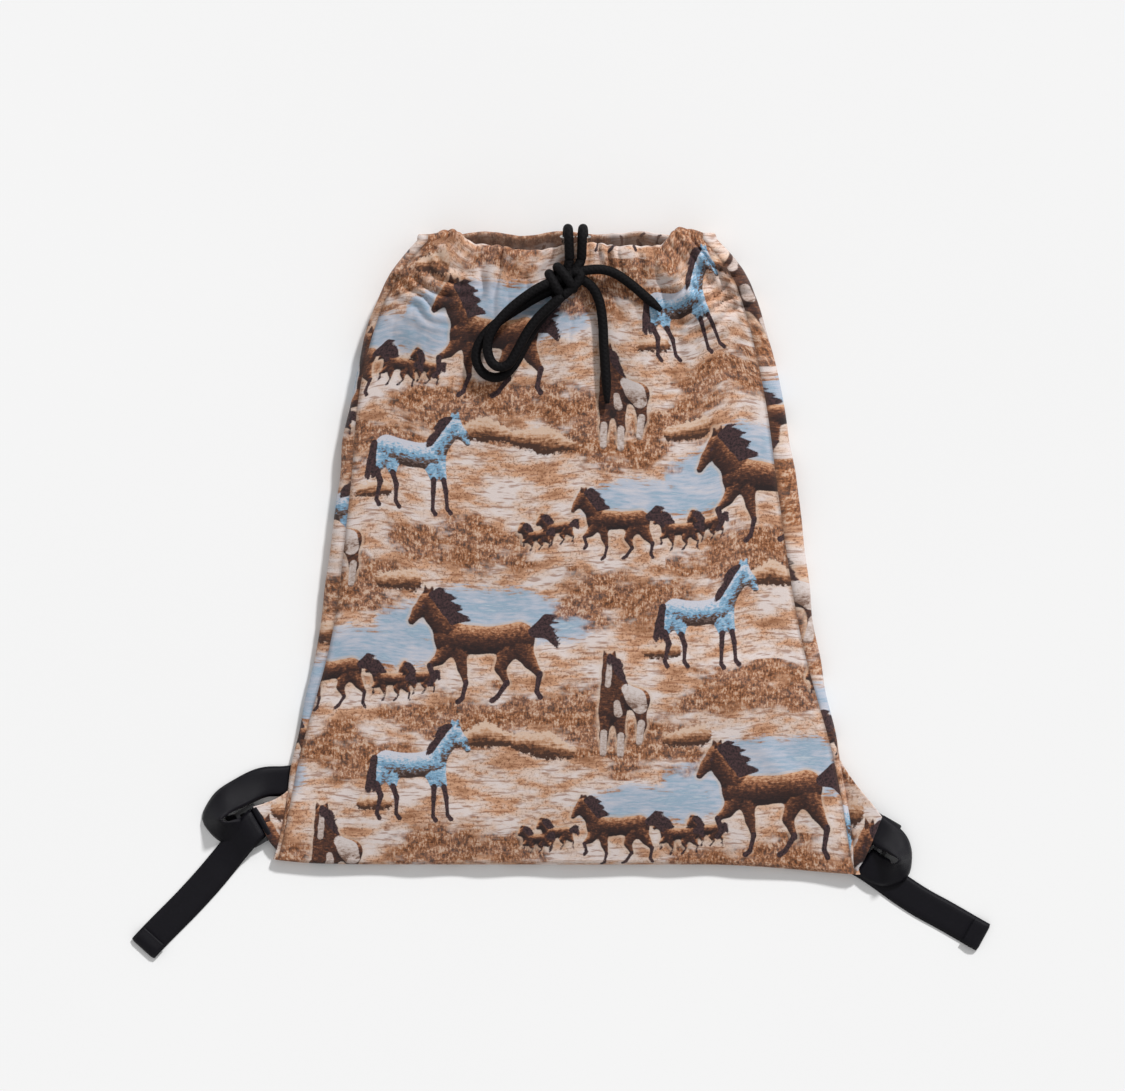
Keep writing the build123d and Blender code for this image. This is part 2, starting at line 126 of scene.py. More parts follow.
# ---------------------------------------------------------------- node helpers
class Nodes:
    """Short names for the shader nodes that the materials are made of."""

    def __init__(self, name):
        self.material = bpy.data.materials.new(name)
        self.material.use_nodes = True
        self.tree = self.material.node_tree
        self.shader = self.tree.nodes["Principled BSDF"]

    def link(self, source, socket):
        """Joins a node's output, or sets a number or colour, on an input."""
        if isinstance(source, (int, float, tuple)):
            socket.default_value = source
        else:
            self.tree.links.new(source, socket)

    def set(self, **values):
        """Sets the shader's inputs by name, with underscores for spaces."""
        for key, value in values.items():
            self.link(value, self.shader.inputs[key.replace("_", " ")])

    def node(self, kind, **inputs):
        """A new node, with inputs joined or set by name."""
        node = self.tree.nodes.new("ShaderNode" + kind)
        for key, value in inputs.items():
            self.link(value, node.inputs[key.replace("_", " ")])
        return node

    def attribute(self, name, output="Fac"):
        node = self.node("Attribute")
        node.attribute_name = name
        return node.outputs[output]

    def math(self, operation, a, b=0.0):
        node = self.node("Math")
        node.operation = operation
        self.link(a, node.inputs[0])
        self.link(b, node.inputs[1])
        return node.outputs[0]

    def add(self, a, b):
        return self.math("ADD", a, b)

    def minus(self, a, b):
        return self.math("SUBTRACT", a, b)

    def times(self, a, b):
        return self.math("MULTIPLY", a, b)

    def weigh(self, *pairs):
        """The sum of (value, weight) pairs."""
        parts = [self.times(value, weight) for value, weight in pairs]
        total = parts[0]
        for part in parts[1:]:
            total = self.add(total, part)
        return total

    def split(self, vector):
        return self.node("SeparateXYZ", Vector=vector).outputs

    def scale(self, vector, factors, offset=(0.0, 0.0, 0.0)):
        return self.node("Mapping", Vector=vector, Scale=factors, Location=offset).outputs[0]

    def noise(self, vector, size, detail, roughness):
        """Noise with features about size units of the vector across."""
        node = self.node("TexNoise", Vector=vector, Scale=1.0 / size, Detail=detail, Roughness=roughness)
        return node.outputs["Fac"]

    def wave(self, vector, size, direction):
        """Bands size units of the vector apart."""
        node = self.node("TexWave", Vector=vector, Scale=math.pi / (10.0 * size))
        node.bands_direction = direction
        return node.outputs["Fac"]

    def step(self, value, low, high):
        """0 below low, 1 above high, smooth between; low may be the larger."""
        node = self.node("MapRange", Value=value, From_Min=low, From_Max=high)
        node.interpolation_type = "SMOOTHSTEP"
        return node.outputs["Result"]

    def mix(self, share, a, b):
        node = self.node("Mix")
        node.data_type = "RGBA"
        self.link(share, node.inputs["Factor"])
        self.link(a, node.inputs["A"])
        self.link(b, node.inputs["B"])
        return node.outputs["Result"]

    def ramp(self, value, *stops):
        """Colour ramp from stops of a position and a 0-255 display colour."""
        node = self.node("ValToRGB", Fac=value)
        elements = node.color_ramp.elements
        while len(elements) < len(stops):
            elements.new(0.5)
        for element, (position, *colour) in zip(elements, stops):
            element.position = position
            element.color = srgb(*colour)
        return node.outputs["Color"]

    def bump(self, height, distance, strength):
        return self.node("Bump", Height=height, Distance=distance, Strength=strength).outputs[0]


# ---------------------------------------------------------------- materials
def canvas_material():
    """Printed canvas: a horse-country print on a coarse weave.

    The print's shapes come as signed distances in millimetres, worked out on the cloth:
    figures = (brown coat, hair, pale coat), ground = (lake, grass, rock). lit is the side of
    a shape that the drawn light falls on, and tint is 1 where the pale coat is a white patch.
    """
    n = Nodes("printed_canvas")
    cloth = n.attribute("cloth", "Vector")
    coat, hair, pale = n.split(n.attribute("figures", "Vector"))
    lake, grass, rock = n.split(n.attribute("ground", "Vector"))
    lit = n.attribute("lit")
    fine = n.noise(cloth, 0.9, 2.0, 0.7)
    small = n.noise(cloth, 2.6, 2.0, 0.6)
    broad = n.noise(n.scale(cloth, (0.45, 1.0, 1.0)), 13.0, 3.0, 0.6)
    streak = n.noise(n.scale(cloth, (0.16, 1.0, 1.0)), 1.9, 2.0, 0.6)
    blades = n.noise(n.scale(cloth, (1.0, 0.36, 1.0)), 1.5, 2.0, 0.75)
    curls = n.noise(n.scale(cloth, (1.0, 1.0, 1.0), (7.0, 3.0, 0.0)), 1.7, 1.0, 0.9)

    # Bare ground: pale cream mist to warm sand, with drawn strokes
    sand = n.ramp(
        broad,
        (0.40, 226, 212, 207), (0.50, 221, 194, 177), (0.58, 211, 162, 129), (0.71, 160, 110, 77),
    )
    strokes = n.times(n.step(streak, 0.52, 0.63), 0.62)
    colour = n.mix(strokes, sand, srgb(146, 92, 60))
    hatch = n.times(n.step(curls, 0.50, 0.66), n.step(broad, 0.38, 0.58))
    colour = n.mix(n.times(hatch, 0.7), colour, srgb(120, 74, 46))

    # Lakes and sky patches
    edge = n.times(n.minus(small, 0.5), 5.0)
    shore = n.times(n.minus(streak, 0.5), 20.0)
    in_lake = n.step(n.add(lake, n.add(shore, edge)), 2.2, -2.6)
    water = n.ramp(
        n.weigh((streak, 0.5), (broad, 0.6)),
        (0.38, 206, 203, 210), (0.52, 182, 190, 205), (0.63, 150, 174, 194), (0.74, 190, 200, 210),
    )
    colour = n.mix(in_lake, colour, water)

    # Grass and brush: short upright strokes, dark at the roots
    clump = n.noise(n.scale(cloth, (0.8, 1.0, 1.0)), 5.0, 2.0, 0.6)
    tuft = n.weigh((blades, 0.38), (curls, 0.24), (clump, 0.38))
    drift = n.noise(n.scale(cloth, (0.5, 1.0, 1.0), (31.0, 17.0, 0.0)), 17.0, 3.0, 0.6)
    thick = n.step(n.add(grass, n.times(n.minus(0.47, drift), 90.0)), 9.0, -4.0)
    brush = n.ramp(
        tuft,
        (0.40, 60, 33, 21), (0.46, 116, 68, 39), (0.52, 170, 111, 71), (0.59, 212, 180, 156),
    )
    colour = n.mix(n.times(thick, 0.92), colour, brush)

    # Rocks: pale tops, brown cracks below
    in_rock = n.step(n.add(rock, n.times(edge, 1.6)), 0.8, -0.8)
    stone = n.ramp(
        n.weigh((lit, 0.30), (n.add(streak, small), 0.42)),
        (0.26, 70, 44, 32), (0.38, 136, 88, 58), (0.48, 196, 148, 114), (0.60, 220, 190, 168),
    )
    colour = n.mix(in_rock, colour, stone)

    # Horses: brown coats, pale coats, then manes, tails and dark legs on top
    ragged = n.times(n.minus(fine, 0.5), 0.8)
    hairs = n.noise(n.scale(cloth, (0.55, 1.3, 1.0), (5.0, 11.0, 0.0)), 1.5, 2.0, 0.7)
    body_light = n.weigh((small, 0.34), (hairs, 0.48), (lit, 0.27))
    brown = n.ramp(
        body_light,
        (0.20, 34, 20, 20), (0.37, 62, 36, 29), (0.48, 100, 60, 41), (0.59, 166, 110, 76),
        (0.69, 212, 166, 132),
    )
    in_coat = n.step(n.add(coat, ragged), 0.35, -0.35)
    halo = n.times(n.step(n.add(coat, ragged), 2.4, 0.6), 0.45)
    colour = n.mix(halo, colour, srgb(214, 190, 170))
    colour = n.mix(in_coat, colour, brown)
    roan = n.ramp(
        body_light,
        (0.20, 58, 40, 34), (0.31, 112, 92, 84), (0.37, 112, 156, 188), (0.47, 150, 184, 208),
        (0.56, 208, 208, 218),
    )
    chalk = n.ramp(body_light, (0.24, 120, 92, 78), (0.36, 184, 164, 154), (0.55, 216, 204, 200))
    roan = n.mix(n.attribute("tint"), roan, chalk)
    in_pale = n.step(n.add(pale, ragged), 0.35, -0.35)
    colour = n.mix(in_pale, colour, roan)
    in_hair = n.step(n.add(hair, n.times(ragged, 1.2)), 0.3, -0.3)
    dark = n.ramp(curls, (0.35, 34, 22, 26), (0.62, 74, 50, 52))
    colour = n.mix(in_hair, colour, dark)

    # Yarn: the print is broken up by the weave
    warp = n.wave(cloth, 0.62, "X")
    weft = n.wave(cloth, 0.62, "Y")
    yarn = n.times(warp, weft)
    speckle = n.noise(cloth, 0.55, 1.0, 0.5)
    grain = n.add(0.73, n.weigh((yarn, 0.10), (speckle, 0.36)))
    shade = n.node("VectorMath")
    shade.operation = "SCALE"
    n.link(colour, shade.inputs[0])
    n.link(grain, shade.inputs["Scale"])
    # Seam line: stitching pulls a narrow, slightly soiled line. Values above 1 are painted shade on the cloth
    # inside the mouth
    seam_and_mouth_shade = n.attribute("seam_and_mouth_shade")
    seam_line_and_painted_shade = n.mix(n.times(seam_and_mouth_shade, 0.55), shade.outputs[0], srgb(78, 54, 42))
    height = n.weigh((yarn, 0.7), (speckle, 0.5))
    n.set(
        Base_Color=seam_line_and_painted_shade,
        Roughness=n.add(0.78, n.times(speckle, 0.18)),
        Specular_IOR_Level=0.25,
        Sheen_Weight=0.12,
        Sheen_Roughness=0.6,
        Normal=n.bump(height, 0.00022, 0.7),
    )
    return n.material


def webbing_material():
    """Smooth black webbing with fine cross ribs and a firm edge. Its map is in millimetres."""
    n = Nodes("black_webbing")
    web = n.attribute("web", "Vector")
    along, across, _ = n.split(web)
    ribs = n.wave(web, 0.55, "X")
    lengthwise = n.wave(web, 0.42, "Y")
    speckle = n.noise(web, 1.6, 3.0, 0.6)
    lint = n.step(n.noise(web, 0.35, 1.0, 0.5), 0.68, 0.76)
    near_edge = n.step(n.math("ABSOLUTE", across), 8.3, 9.6)
    colour = n.mix(speckle, srgb(5, 4, 10), srgb(14, 12, 20))
    colour = n.mix(n.times(near_edge, 0.5), colour, srgb(24, 22, 29))
    colour = n.mix(n.times(lint, 0.2), colour, srgb(84, 80, 88))
    height = n.weigh((ribs, 0.6), (lengthwise, 0.35))
    n.set(
        Base_Color=colour,
        Roughness=n.add(0.36, n.times(speckle, 0.16)),
        Specular_IOR_Level=0.19,
        Normal=n.bump(height, 0.00018, 0.6),
    )
    return n.material


def cord_material():
    """Black braided cord: crossing yarns from its own map, one unit round by millimetres along."""
    n = Nodes("black_cord")
    braid = n.attribute("braid", "Vector")
    along, around, _ = n.split(braid)
    yarns_round = 5 * 6.2832
    steep, turn = n.times(along, 1.9), n.times(around, yarns_round)
    plait = n.math("MAXIMUM", n.math("SINE", n.add(steep, turn)), n.math("SINE", n.minus(steep, turn)))
    fuzz = n.noise(n.scale(braid, (1.0, 8.0, 1.0)), 0.8, 3.0, 0.7)
    level = n.weigh((plait, 0.25), (fuzz, 0.7))
    colour = n.ramp(level, (0.25, 3, 2, 3), (0.7, 12, 9, 12), (0.95, 26, 21, 25))
    height = n.weigh((plait, 0.5), (fuzz, 0.3))
    n.set(
        Base_Color=colour,
        Roughness=n.add(0.62, n.times(fuzz, 0.2)),
        Specular_IOR_Level=0.16,
        Normal=n.bump(height, 0.0003, 0.7),
    )
    return n.material


def metal_material():
    """Nickel plating with fine handling marks."""
    n = Nodes("eyelet_metal")
    place = n.node("TexCoord").outputs["Object"]
    marks = n.noise(n.scale(place, (1000.0, 1000.0, 300.0)), 0.8, 3.0, 0.6)
    colour = n.mix(marks, srgb(170, 168, 166), srgb(214, 212, 208))
    n.set(
        Base_Color=colour,
        Metallic=1.0,
        Roughness=n.add(0.16, n.times(marks, 0.22)),
        Normal=n.bump(marks, 0.00003, 0.4),
    )
    return n.material


def plastic_material():
    """Black moulded plastic with a spark-eroded surface."""
    n = Nodes("slider_plastic")
    place = n.node("TexCoord").outputs["Object"]
    pits = n.noise(n.scale(place, (1000.0, 1000.0, 1000.0)), 0.35, 2.0, 0.6)
    colour = n.mix(pits, srgb(20, 20, 22), srgb(38, 38, 41))
    n.set(
        Base_Color=colour,
        Roughness=n.add(0.42, n.times(pits, 0.2)),
        Normal=n.bump(pits, 0.00005, 0.5),
    )
    return n.material


def floor_material():
    """Matt off-white sweep."""
    n = Nodes("floor")
    place = n.node("TexCoord").outputs["Object"]
    mottle = n.noise(place, 0.4, 2.0, 0.5)
    colour = n.mix(mottle, srgb(244, 244, 244), srgb(247, 247, 247))
    n.set(Base_Color=colour, Roughness=0.9, Specular_IOR_Level=0.1)
    return n.material


# ---------------------------------------------------------------- the print's drawing
PRINT_W = 190.0
PRINT_H = 206.0
PRINT_SHIFT = 112.0


def chain(*knots):
    """Tapered capsules between successive (x, y, radius) knots."""
    return [(*a, *b) for a, b in zip(knots, knots[1:])]


def chains(*lines):
    """The capsules of several chains."""
    return [capsule for line in lines for capsule in chain(*line)]


def strands(seed, count, root, tip, spread, sag, radius):
    """Locks of hair from points between two roots to points between two tips."""
    draw = random.Random(seed)
    found = []
    for i in range(count):
        t = (i + 0.5) / count
        x = root[0] + t * (root[2] - root[0])
        y = root[1] + t * (root[3] - root[1])
        u = tip[0] + t * (tip[2] - tip[0]) + draw.uniform(-spread, spread)
        v = tip[1] + t * (tip[3] - tip[1]) + draw.uniform(-spread, spread)
        middle = ((x + u) / 2 + draw.uniform(-1, 1), (y + v) / 2 + sag)
        thick = radius * draw.uniform(0.75, 1.2)
        found += chain((x, y, thick), (*middle, thick * 0.8), (u, v, 0.25))
    return found


def trotting_horse():
    """A horse trotting to the left: its coat, and its mane, tail and dark legs."""
    coat = chains(
        ((-23, 3, 10.6), (-6, 2.6, 9.0), (12, 3.4, 9.2), (22, 4.6, 10.8)),
        ((-25, 8.5, 8.8), (-33, 18, 6.4), (-38, 27, 4.8)),
        ((-38.5, 28.5, 4.6), (-44, 20.5, 3.5), (-48.5, 13.5, 2.3)),
        ((-35.5, 33, 1.7), (-34.5, 37.5, 0.5)),
        ((-38.5, 34, 1.5), (-39.5, 37.8, 0.5)),
        ((-24, -2, 6.8), (-30, -11, 3.4), (-36.5, -15.5, 2.0)),
        ((-17, -5, 5.6), (-15, -17, 2.7), (-12.5, -27, 1.7)),
        ((23, -1, 9.0), (29.5, -12, 4.0), (36, -21, 2.1)),
        ((15, -4, 6.8), (10, -16, 3.2), (14.5, -26.5, 1.9)),
    )
    dark = chains(
        ((-36.5, -15.5, 2.0), (-34, -25, 1.4), (-36.5, -28, 1.9)),
        ((-12.5, -26, 1.7), (-15, -37, 1.3), (-18, -39.5, 1.9)),
        ((36, -20, 2.1), (34, -32, 1.4), (36.5, -36, 1.9)),
        ((14.5, -25.5, 1.9), (8, -35.5, 1.4), (4.5, -38, 1.9)),
        ((-40.5, 24.5, 1.0), (-41.3, 23.6, 0.7)),
    )
    dark += strands(3, 13, (-36, 33, -21, 13), (-24, 37, -9, 13), 2.0, 1.2, 1.7)
    dark += strands(5, 10, (31, 9, 33, 7), (47, 19, 50, -8), 3.0, 4.0, 2.0)
    return coat, dark


def standing_horse():
    """A pale horse standing and looking to the right, with dark points."""
    coat = chains(
        ((-20, 3.5, 9.6), (-5, 2.2, 8.4), (12, 4, 9.4)),
        ((15, 8.5, 7.6), (23, 19, 5.4), (28, 27, 4.2)),
        ((28.5, 28, 4.1), (34, 20.5, 3.1), (37.5, 14.5, 2.1)),
        ((27, 32, 1.5), (26.5, 36, 0.5)),
        ((30, 32.5, 1.4), (31, 36.4, 0.5)),
        ((-23, -2, 7.4), (-27.5, -11, 3.4)),
        ((-17, -4, 5.6), (-16.3, -12, 3.0)),
        ((12, -3, 5.6), (13.3, -12, 2.8)),
        ((17, -2, 4.8), (20.2, -12, 2.5)),
    )
    dark = chains(
        ((-28, -12, 2.6), (-25, -20, 1.9), (-28, -33, 1.2), (-26, -36.5, 1.8)),
        ((-16.2, -13, 2.2), (-13.5, -21, 1.7), (-14, -33, 1.2), (-11.5, -36.5, 1.8)),
        ((13.3, -13, 2.1), (13, -22, 1.6), (12.5, -35, 1.2), (14.5, -38, 1.8)),
        ((20.4, -13, 2.0), (22, -21, 1.6), (23, -34, 1.2), (25.5, -37, 1.8)),
    )
    dark += strands(11, 10, (26, 33, 12, 14), (17, 31, 6, 7), 1.5, 0.4, 1.5)
    dark += strands(13, 7, (-29, 8, -30, 5), (-36, -16, -31, -19), 1.6, -0.5, 1.5)
    return coat, dark


def facing_horse():
    """A pinto that faces the viewer, three-quarters on: coat, white patches, hair."""
    coat = chains(
        ((2.5, 22, 6.4), (3.5, 8, 9.2), (2, -6, 9.8)),
        ((0, 29, 4.5), (-0.6, 20, 3.9), (-1.2, 12, 2.9)),
        ((-3.0, 32.5, 1.2), (-3.6, 35.5, 0.5)),
        ((2.8, 32.5, 1.2), (3.6, 35.5, 0.5)),
        ((11, 4, 8.6), (20, 2, 8.2)),
        ((-2.5, -12, 4.6), (-4, -24, 2.5), (-4, -33, 2.0)),
        ((6.5, -12, 4.4), (8, -24, 2.4), (7.5, -34, 2.0)),
        ((21, -4, 5.0), (22.5, -16, 2.8), (21, -25, 2.0)),
    )
    white = chains(
        ((0.3, 29, 2.0), (-0.6, 19, 1.5), (-1.2, 12, 2.1)),
        ((12, 9, 3.8), (18, 3, 6.4), (21, -3, 5.2)),
        ((5, -1, 2.2), (6, -8, 3.0)),
        ((-4, -22, 2.4), (-4.5, -37, 2.2)),
        ((7.8, -24, 2.4), (7.5, -38, 2.2)),
        ((22, -15, 2.6), (20.5, -29, 2.1)),
    )
    dark = strands(17, 7, (1, 33, 5, 20), (9, 27, 12, 11), 1.2, 0.0, 1.2)
    dark += strands(19, 3, (-1, 33, 1, 33), (-2.5, 26, 2, 25), 0.6, 0.0, 0.8)
    dark += chains(
        ((-3.9, 24.0, 0.75), (-4.1, 23.2, 0.5)),
        ((3.2, 24.0, 0.75), (3.3, 23.2, 0.5)),
    )
    return coat, white, dark


def capsule_distance(x, y, parts, soft):
    """Smooth union of tapered capsules: signed distance, and the drawn light on the nearest."""
    total = np.zeros_like(x)
    nearest = np.full_like(x, 1e9)
    light = np.zeros_like(x)
    for ax, ay, ar, bx, by, br in parts:
        dx, dy = bx - ax, by - ay
        t = np.clip(((x - ax) * dx + (y - ay) * dy) / (dx * dx + dy * dy + 1e-9), 0, 1)
        cx, cy = ax + t * dx, ay + t * dy
        radius = ar + t * (br - ar)
        d = np.hypot(x - cx, y - cy) - radius
        total += np.exp(-np.clip(d, -20, 40) / soft)
        closer = d < nearest
        nearest = np.where(closer, d, nearest)
        light = np.where(closer, (y - cy) / np.maximum(radius, 0.8), light)
    return -soft * np.log(np.maximum(total, 1e-30)), light


def print_layers():
    """Where each motif stands in one repeat: layer name, centre, capsules."""
    trot_coat, trot_dark = trotting_horse()
    stand_coat, stand_dark = standing_horse()
    face_coat, face_white, face_dark = facing_horse()
    layers = []

    def place(x, y, size=1.0, **motif):
        for layer, parts in motif.items():
            layers.append((layer, (x, y), [tuple(size * value for value in part) for part in parts]))

    # A large horse, and a herd of one smaller horse with foals round it
    herd_x, herd_y = 146, 22
    place(58, 148, coat=trot_coat, hair=trot_dark)
    for dx, dy, size in ((0, 0, 0.62), (-54, -7, 0.24), (-40, -3, 0.28), (40, -4, 0.34), (59, -1, 0.27)):
        place(herd_x + dx, herd_y + dy, size, coat=trot_coat, hair=trot_dark)
    place(12, 63, 0.92, pale=stand_coat, hair=stand_dark)
    place(140, 108, 0.95, coat=face_coat, white=face_white, hair=face_dark)
    place(58, 160, lake=chain((-62, -4, 11), (-22, 6, 19), (22, 6, 19), (60, 0, 11)))
    place(160, 32, lake=chain((-34, 4, 8), (-4, 8, 12), (30, 7, 11), (56, 8, 8)))
    place(70, 100, grass=chain((-66, 2, 8), (-30, -2, 10), (14, 4, 12), (50, -2, 8)))
    place(150, 82, grass=chain((-30, 2, 8), (0, -6, 13), (36, 4, 9)))
    place(60, 8, grass=chain((-50, 0, 9), (-10, 4, 11), (20, -2, 7)))
    place(150, 176, grass=chain((-34, 0, 8), (4, 4, 12), (40, -2, 9)))
    place(74, 84, rock=chains(((-34, -2, 4), (-16, 3, 8), (-2, 0, 5)), ((6, -2, 6), (24, -5, 9), (40, -10, 4))))
    place(4, 186, rock=chain((-14, 0, 5), (6, 3, 7)))
    place(176, 142, rock=chain((-10, 0, 4), (6, 1, 5)))
    return layers


def paint_print(mesh, cloth, seam_and_mouth_shade):
    """Writes the cloth's flat map and the print's fields on a mesh. cloth is (n, 2) in mm."""
    far, margin = 30.0, 8
    layer_names = ("coat", "hair", "pale", "white", "lake", "grass", "rock")
    fields = {name: np.full(len(cloth), far) for name in layer_names}
    lit = np.zeros(len(cloth))
    best = np.full(len(cloth), far)
    for layer, (cx, cy), parts in print_layers():
        # The offset from the nearest repeat of the motif; each column drops by half a repeat
        dx = cloth[:, 0] - cx
        dy = cloth[:, 1] - cy
        column = np.round(dx / PRINT_W)
        dx = dx - column * PRINT_W
        dy = dy - column * PRINT_H / 2
        dy = dy - np.round(dy / PRINT_H) * PRINT_H
        reach, rise = (
            max(max(abs(p[k]), abs(p[k + 3])) + max(p[2], p[5]) for p in parts) + margin for k in (0, 1)
        )
        near = (np.abs(dx) < reach) & (np.abs(dy) < rise)
        if not near.any():
            continue
        soft = 0.5 if layer == "hair" else 1.1
        d, light = capsule_distance(dx[near], dy[near], parts, soft)
        fields[layer][near] = np.minimum(fields[layer][near], d)
        if layer in ("coat", "pale", "white", "rock"):
            now = best[near]
            closer = d < now
            lit[np.flatnonzero(near)[closer]] = light[closer]
            best[near] = np.minimum(now, d)
    write_vector(mesh, "cloth", cloth[:, 0], cloth[:, 1], np.zeros(len(cloth)))
    write_vector(mesh, "figures", fields["coat"], fields["hair"], np.minimum(fields["pale"], fields["white"]))
    write_value(mesh, "tint", (fields["white"] < fields["pale"]).astype(float))
    write_vector(mesh, "ground", fields["lake"], fields["grass"], fields["rock"])
    write_value(mesh, "lit", lit)
    # Seam lines, and above 1 the painted shade inside the mouth
    write_value(mesh, "seam_and_mouth_shade", seam_and_mouth_shade)


def write_vector(mesh, name, x, y, z):
    """Stores one vector at each vertex."""
    layer = mesh.attributes.new(name, "FLOAT_VECTOR", "POINT")
    layer.data.foreach_set("vector", np.stack([x, y, z], 1).astype(np.float32).ravel())


def write_value(mesh, name, values):
    """Stores one number at each vertex."""
    layer = mesh.attributes.new(name, "FLOAT", "POINT")
    layer.data.foreach_set("value", np.asarray(values, np.float32))


# ---------------------------------------------------------------- mesh helpers
def new_piece(name, mesh, material):
    """A smooth object for a mesh, with its material in the named slot."""
    mesh.shade_smooth()
    mesh.materials.append(material)
    piece = bpy.data.objects.new(name, mesh)
    scene.collection.objects.link(piece)
    return piece


def mesh_of(name, verts, faces):
    """A mesh from vertices and faces."""
    mesh = bpy.data.meshes.new(name)
    mesh.from_pydata([tuple(v) for v in verts], [], faces)
    return mesh


def tube_faces(rings, around, closed=False, base=0):
    """Quads between rings of vertices, with caps on the ends of a tube that isn't closed."""
    faces = []
    for i in range(rings if closed else rings - 1):
        here, after = base + i * around, base + (i + 1) % rings * around
        for k in range(around):
            b = (k + 1) % around
            faces.append((here + k, here + b, after + b, after + k))
    if not closed:
        faces.append(tuple(base + k for k in range(around))[::-1])
        faces.append(tuple(base + (rings - 1) * around + k for k in range(around)))
    return faces


def unit(vectors):
    """Each row at length 1."""
    return vectors / np.linalg.norm(vectors, axis=1)[:, None]


# ---------------------------------------------------------------- the bag's cloth
def smooth_curve(knots):
    """Callable through (position, value) knots: cubic pieces with slopes from the neighbours."""
    xs = np.array([k[0] for k in knots], float)
    ys = np.array([k[1] for k in knots], float)
    slopes = np.gradient(ys, xs)

    def value(x):
        x = np.clip(np.asarray(x, float), xs[0], xs[-1])
        i = np.clip(np.searchsorted(xs, x) - 1, 0, len(xs) - 2)
        h = xs[i + 1] - xs[i]
        t = (x - xs[i]) / h
        return (
            (2 * t**3 - 3 * t**2 + 1) * ys[i]
            + (t**3 - 2 * t**2 + t) * h * slopes[i]
            + (-2 * t**3 + 3 * t**2) * ys[i + 1]
            + (t**3 - t**2) * h * slopes[i + 1]
        )

    return value


# By y: half width of the bag, height of its side and of its crown, and width of each side strip
half_width = smooth_curve([
    (-206, 195), (-190, 191), (-139, 181.5), (-59, 165), (33, 153), (99, 143.5), (140, 134),
    (165, 126), (181, 118.5), (195, 108), (206, 98), (213, 92),
])
side_height = smooth_curve([
    (-206, 7), (-139, 9.5), (-59, 11), (33, 13), (110, 16), (150, 20), (184, 25.5), (213, 26),
])
crown_height = smooth_curve([
    (-206, 8.2), (-190, 12), (-139, 18.5), (-59, 24), (33, 27), (110, 28.5), (184, 30.5), (213, 31),
])
right_strip = smooth_curve([(-206, 4), (-140, 5), (-60, 10), (40, 13), (130, 12), (213, 10)])
left_strip = smooth_curve([(-206, 3), (-140, 4), (-60, 9), (40, 9), (130, 5), (213, 10)])


def value_noise(x, y, seed):
    """Smooth repeatable noise from -1 to 1, one unit apart, on arrays."""
    def corner(i, j):
        h = np.sin(i * 127.1 + j * 311.7 + seed * 74.7) * 43758.5453
        return 2 * (h - np.floor(h)) - 1

    i, j = np.floor(x), np.floor(y)
    fx, fy = x - i, y - j
    sx, sy = fx * fx * (3 - 2 * fx), fy * fy * (3 - 2 * fy)
    low = corner(i, j) * (1 - sx) + corner(i + 1, j) * sx
    high = corner(i, j + 1) * (1 - sx) + corner(i + 1, j + 1) * sx
    return low * (1 - sy) + high * sy


def smoothstep(value, low, high):
    """0 at low, 1 at high."""
    t = np.clip((value - low) / (high - low), 0, 1)
    return t * t * (3 - 2 * t)


def bell(value, width):
    """1 at 0, and falling off smoothly over a width."""
    return np.exp(-((value / width) ** 2))


def strip_width(across, y):
    """Width of the side strip on the side where across lies."""
    return np.where(across > 0, right_strip(y), left_strip(y))


def fullness(y):
    """How much more print than width there is where the cloth is gathered."""
    return 1 + GATHER_FULLNESS * smoothstep(y, 90, 200)


def over_edge(share):
    """Past the rim: the share past it, the turn over the rolled edge, and mm down the hem."""
    past = np.maximum(share - 1.0, 0.0)
    return past, np.pi * np.clip(past / ROLL_SHARE, 0, 1), np.maximum(past - ROLL_SHARE, 0.0) * HEM_MM_PER_SHARE


def ridge(x, y, start, end, width):
    """A soft bump along a line in plan, 1 on the line and 0 a few widths away."""
    dx, dy = end[0] - start[0], end[1] - start[1]
    t = np.clip(((x - start[0]) * dx + (y - start[1]) * dy) / (dx * dx + dy * dy), 0, 1)
    d = np.hypot(x - start[0] - t * dx, y - start[1] - t * dy)
    fade = np.sin(np.pi * np.clip(t * 0.9 + 0.05, 0, 1)) ** 0.5
    return bell(d, width) * fade


def pleat_height(across, down):
    """Gathers below the rim. across is -1 to 1 over the front, down is mm below the rim."""
    drift = 0.05 * value_noise(across * 6, down / 26.0, 3) + 0.03 * value_noise(across * 17, down / 16.0, 5)
    fine = np.abs(np.sin((across + drift) * math.pi * PLEATS + 0.6)) ** 0.8
    coarse = np.sin((across + 0.6 * drift) * math.pi * 5.2 + 1.4)
    strength = 0.75 + 0.5 * value_noise(across * 4 + 9, down / 60.0, 8)
    near_rim = np.exp(-np.maximum(down, 0) / 34.0)
    far = bell(np.maximum(down, 0), 72.0)
    return strength * (5.4 * near_rim * (fine - 0.5) + 3.8 * far * coarse)


def ruffle(x, y, centre, along, pitch, reach):
    """Small folds, one pitch apart along a direction, that die out away from a centre."""
    dx, dy = x - centre[0], y - centre[1]
    s = dx * along[0] + dy * along[1]
    t = dy * along[0] - dx * along[1]
    waver = 1.6 * value_noise(s / 14.0, t / 13.0, 77)
    fold = 2 * np.abs(np.sin(math.pi * (s / pitch + waver * 0.35 + 0.0009 * t * t))) - 1
    return fold * bell(np.hypot(dx, dy), reach)


def rim_line(across):
    """y of the front rim over its width; it sits lower in the middle."""
    ends = smoothstep(np.abs(across), 0.6, 0.86) - 0.2 * smoothstep(np.abs(across), 0.92, 1.0)
    waver = 1.3 * np.sin(across * 9.0 + 0.7)
    line = RIM_FRONT_Y + 10.5 * ends + waver + 0.9 * value_noise(across * 9, 0 * across, 21)
    return line - 2.4 * bell(across + 0.3, 0.2)


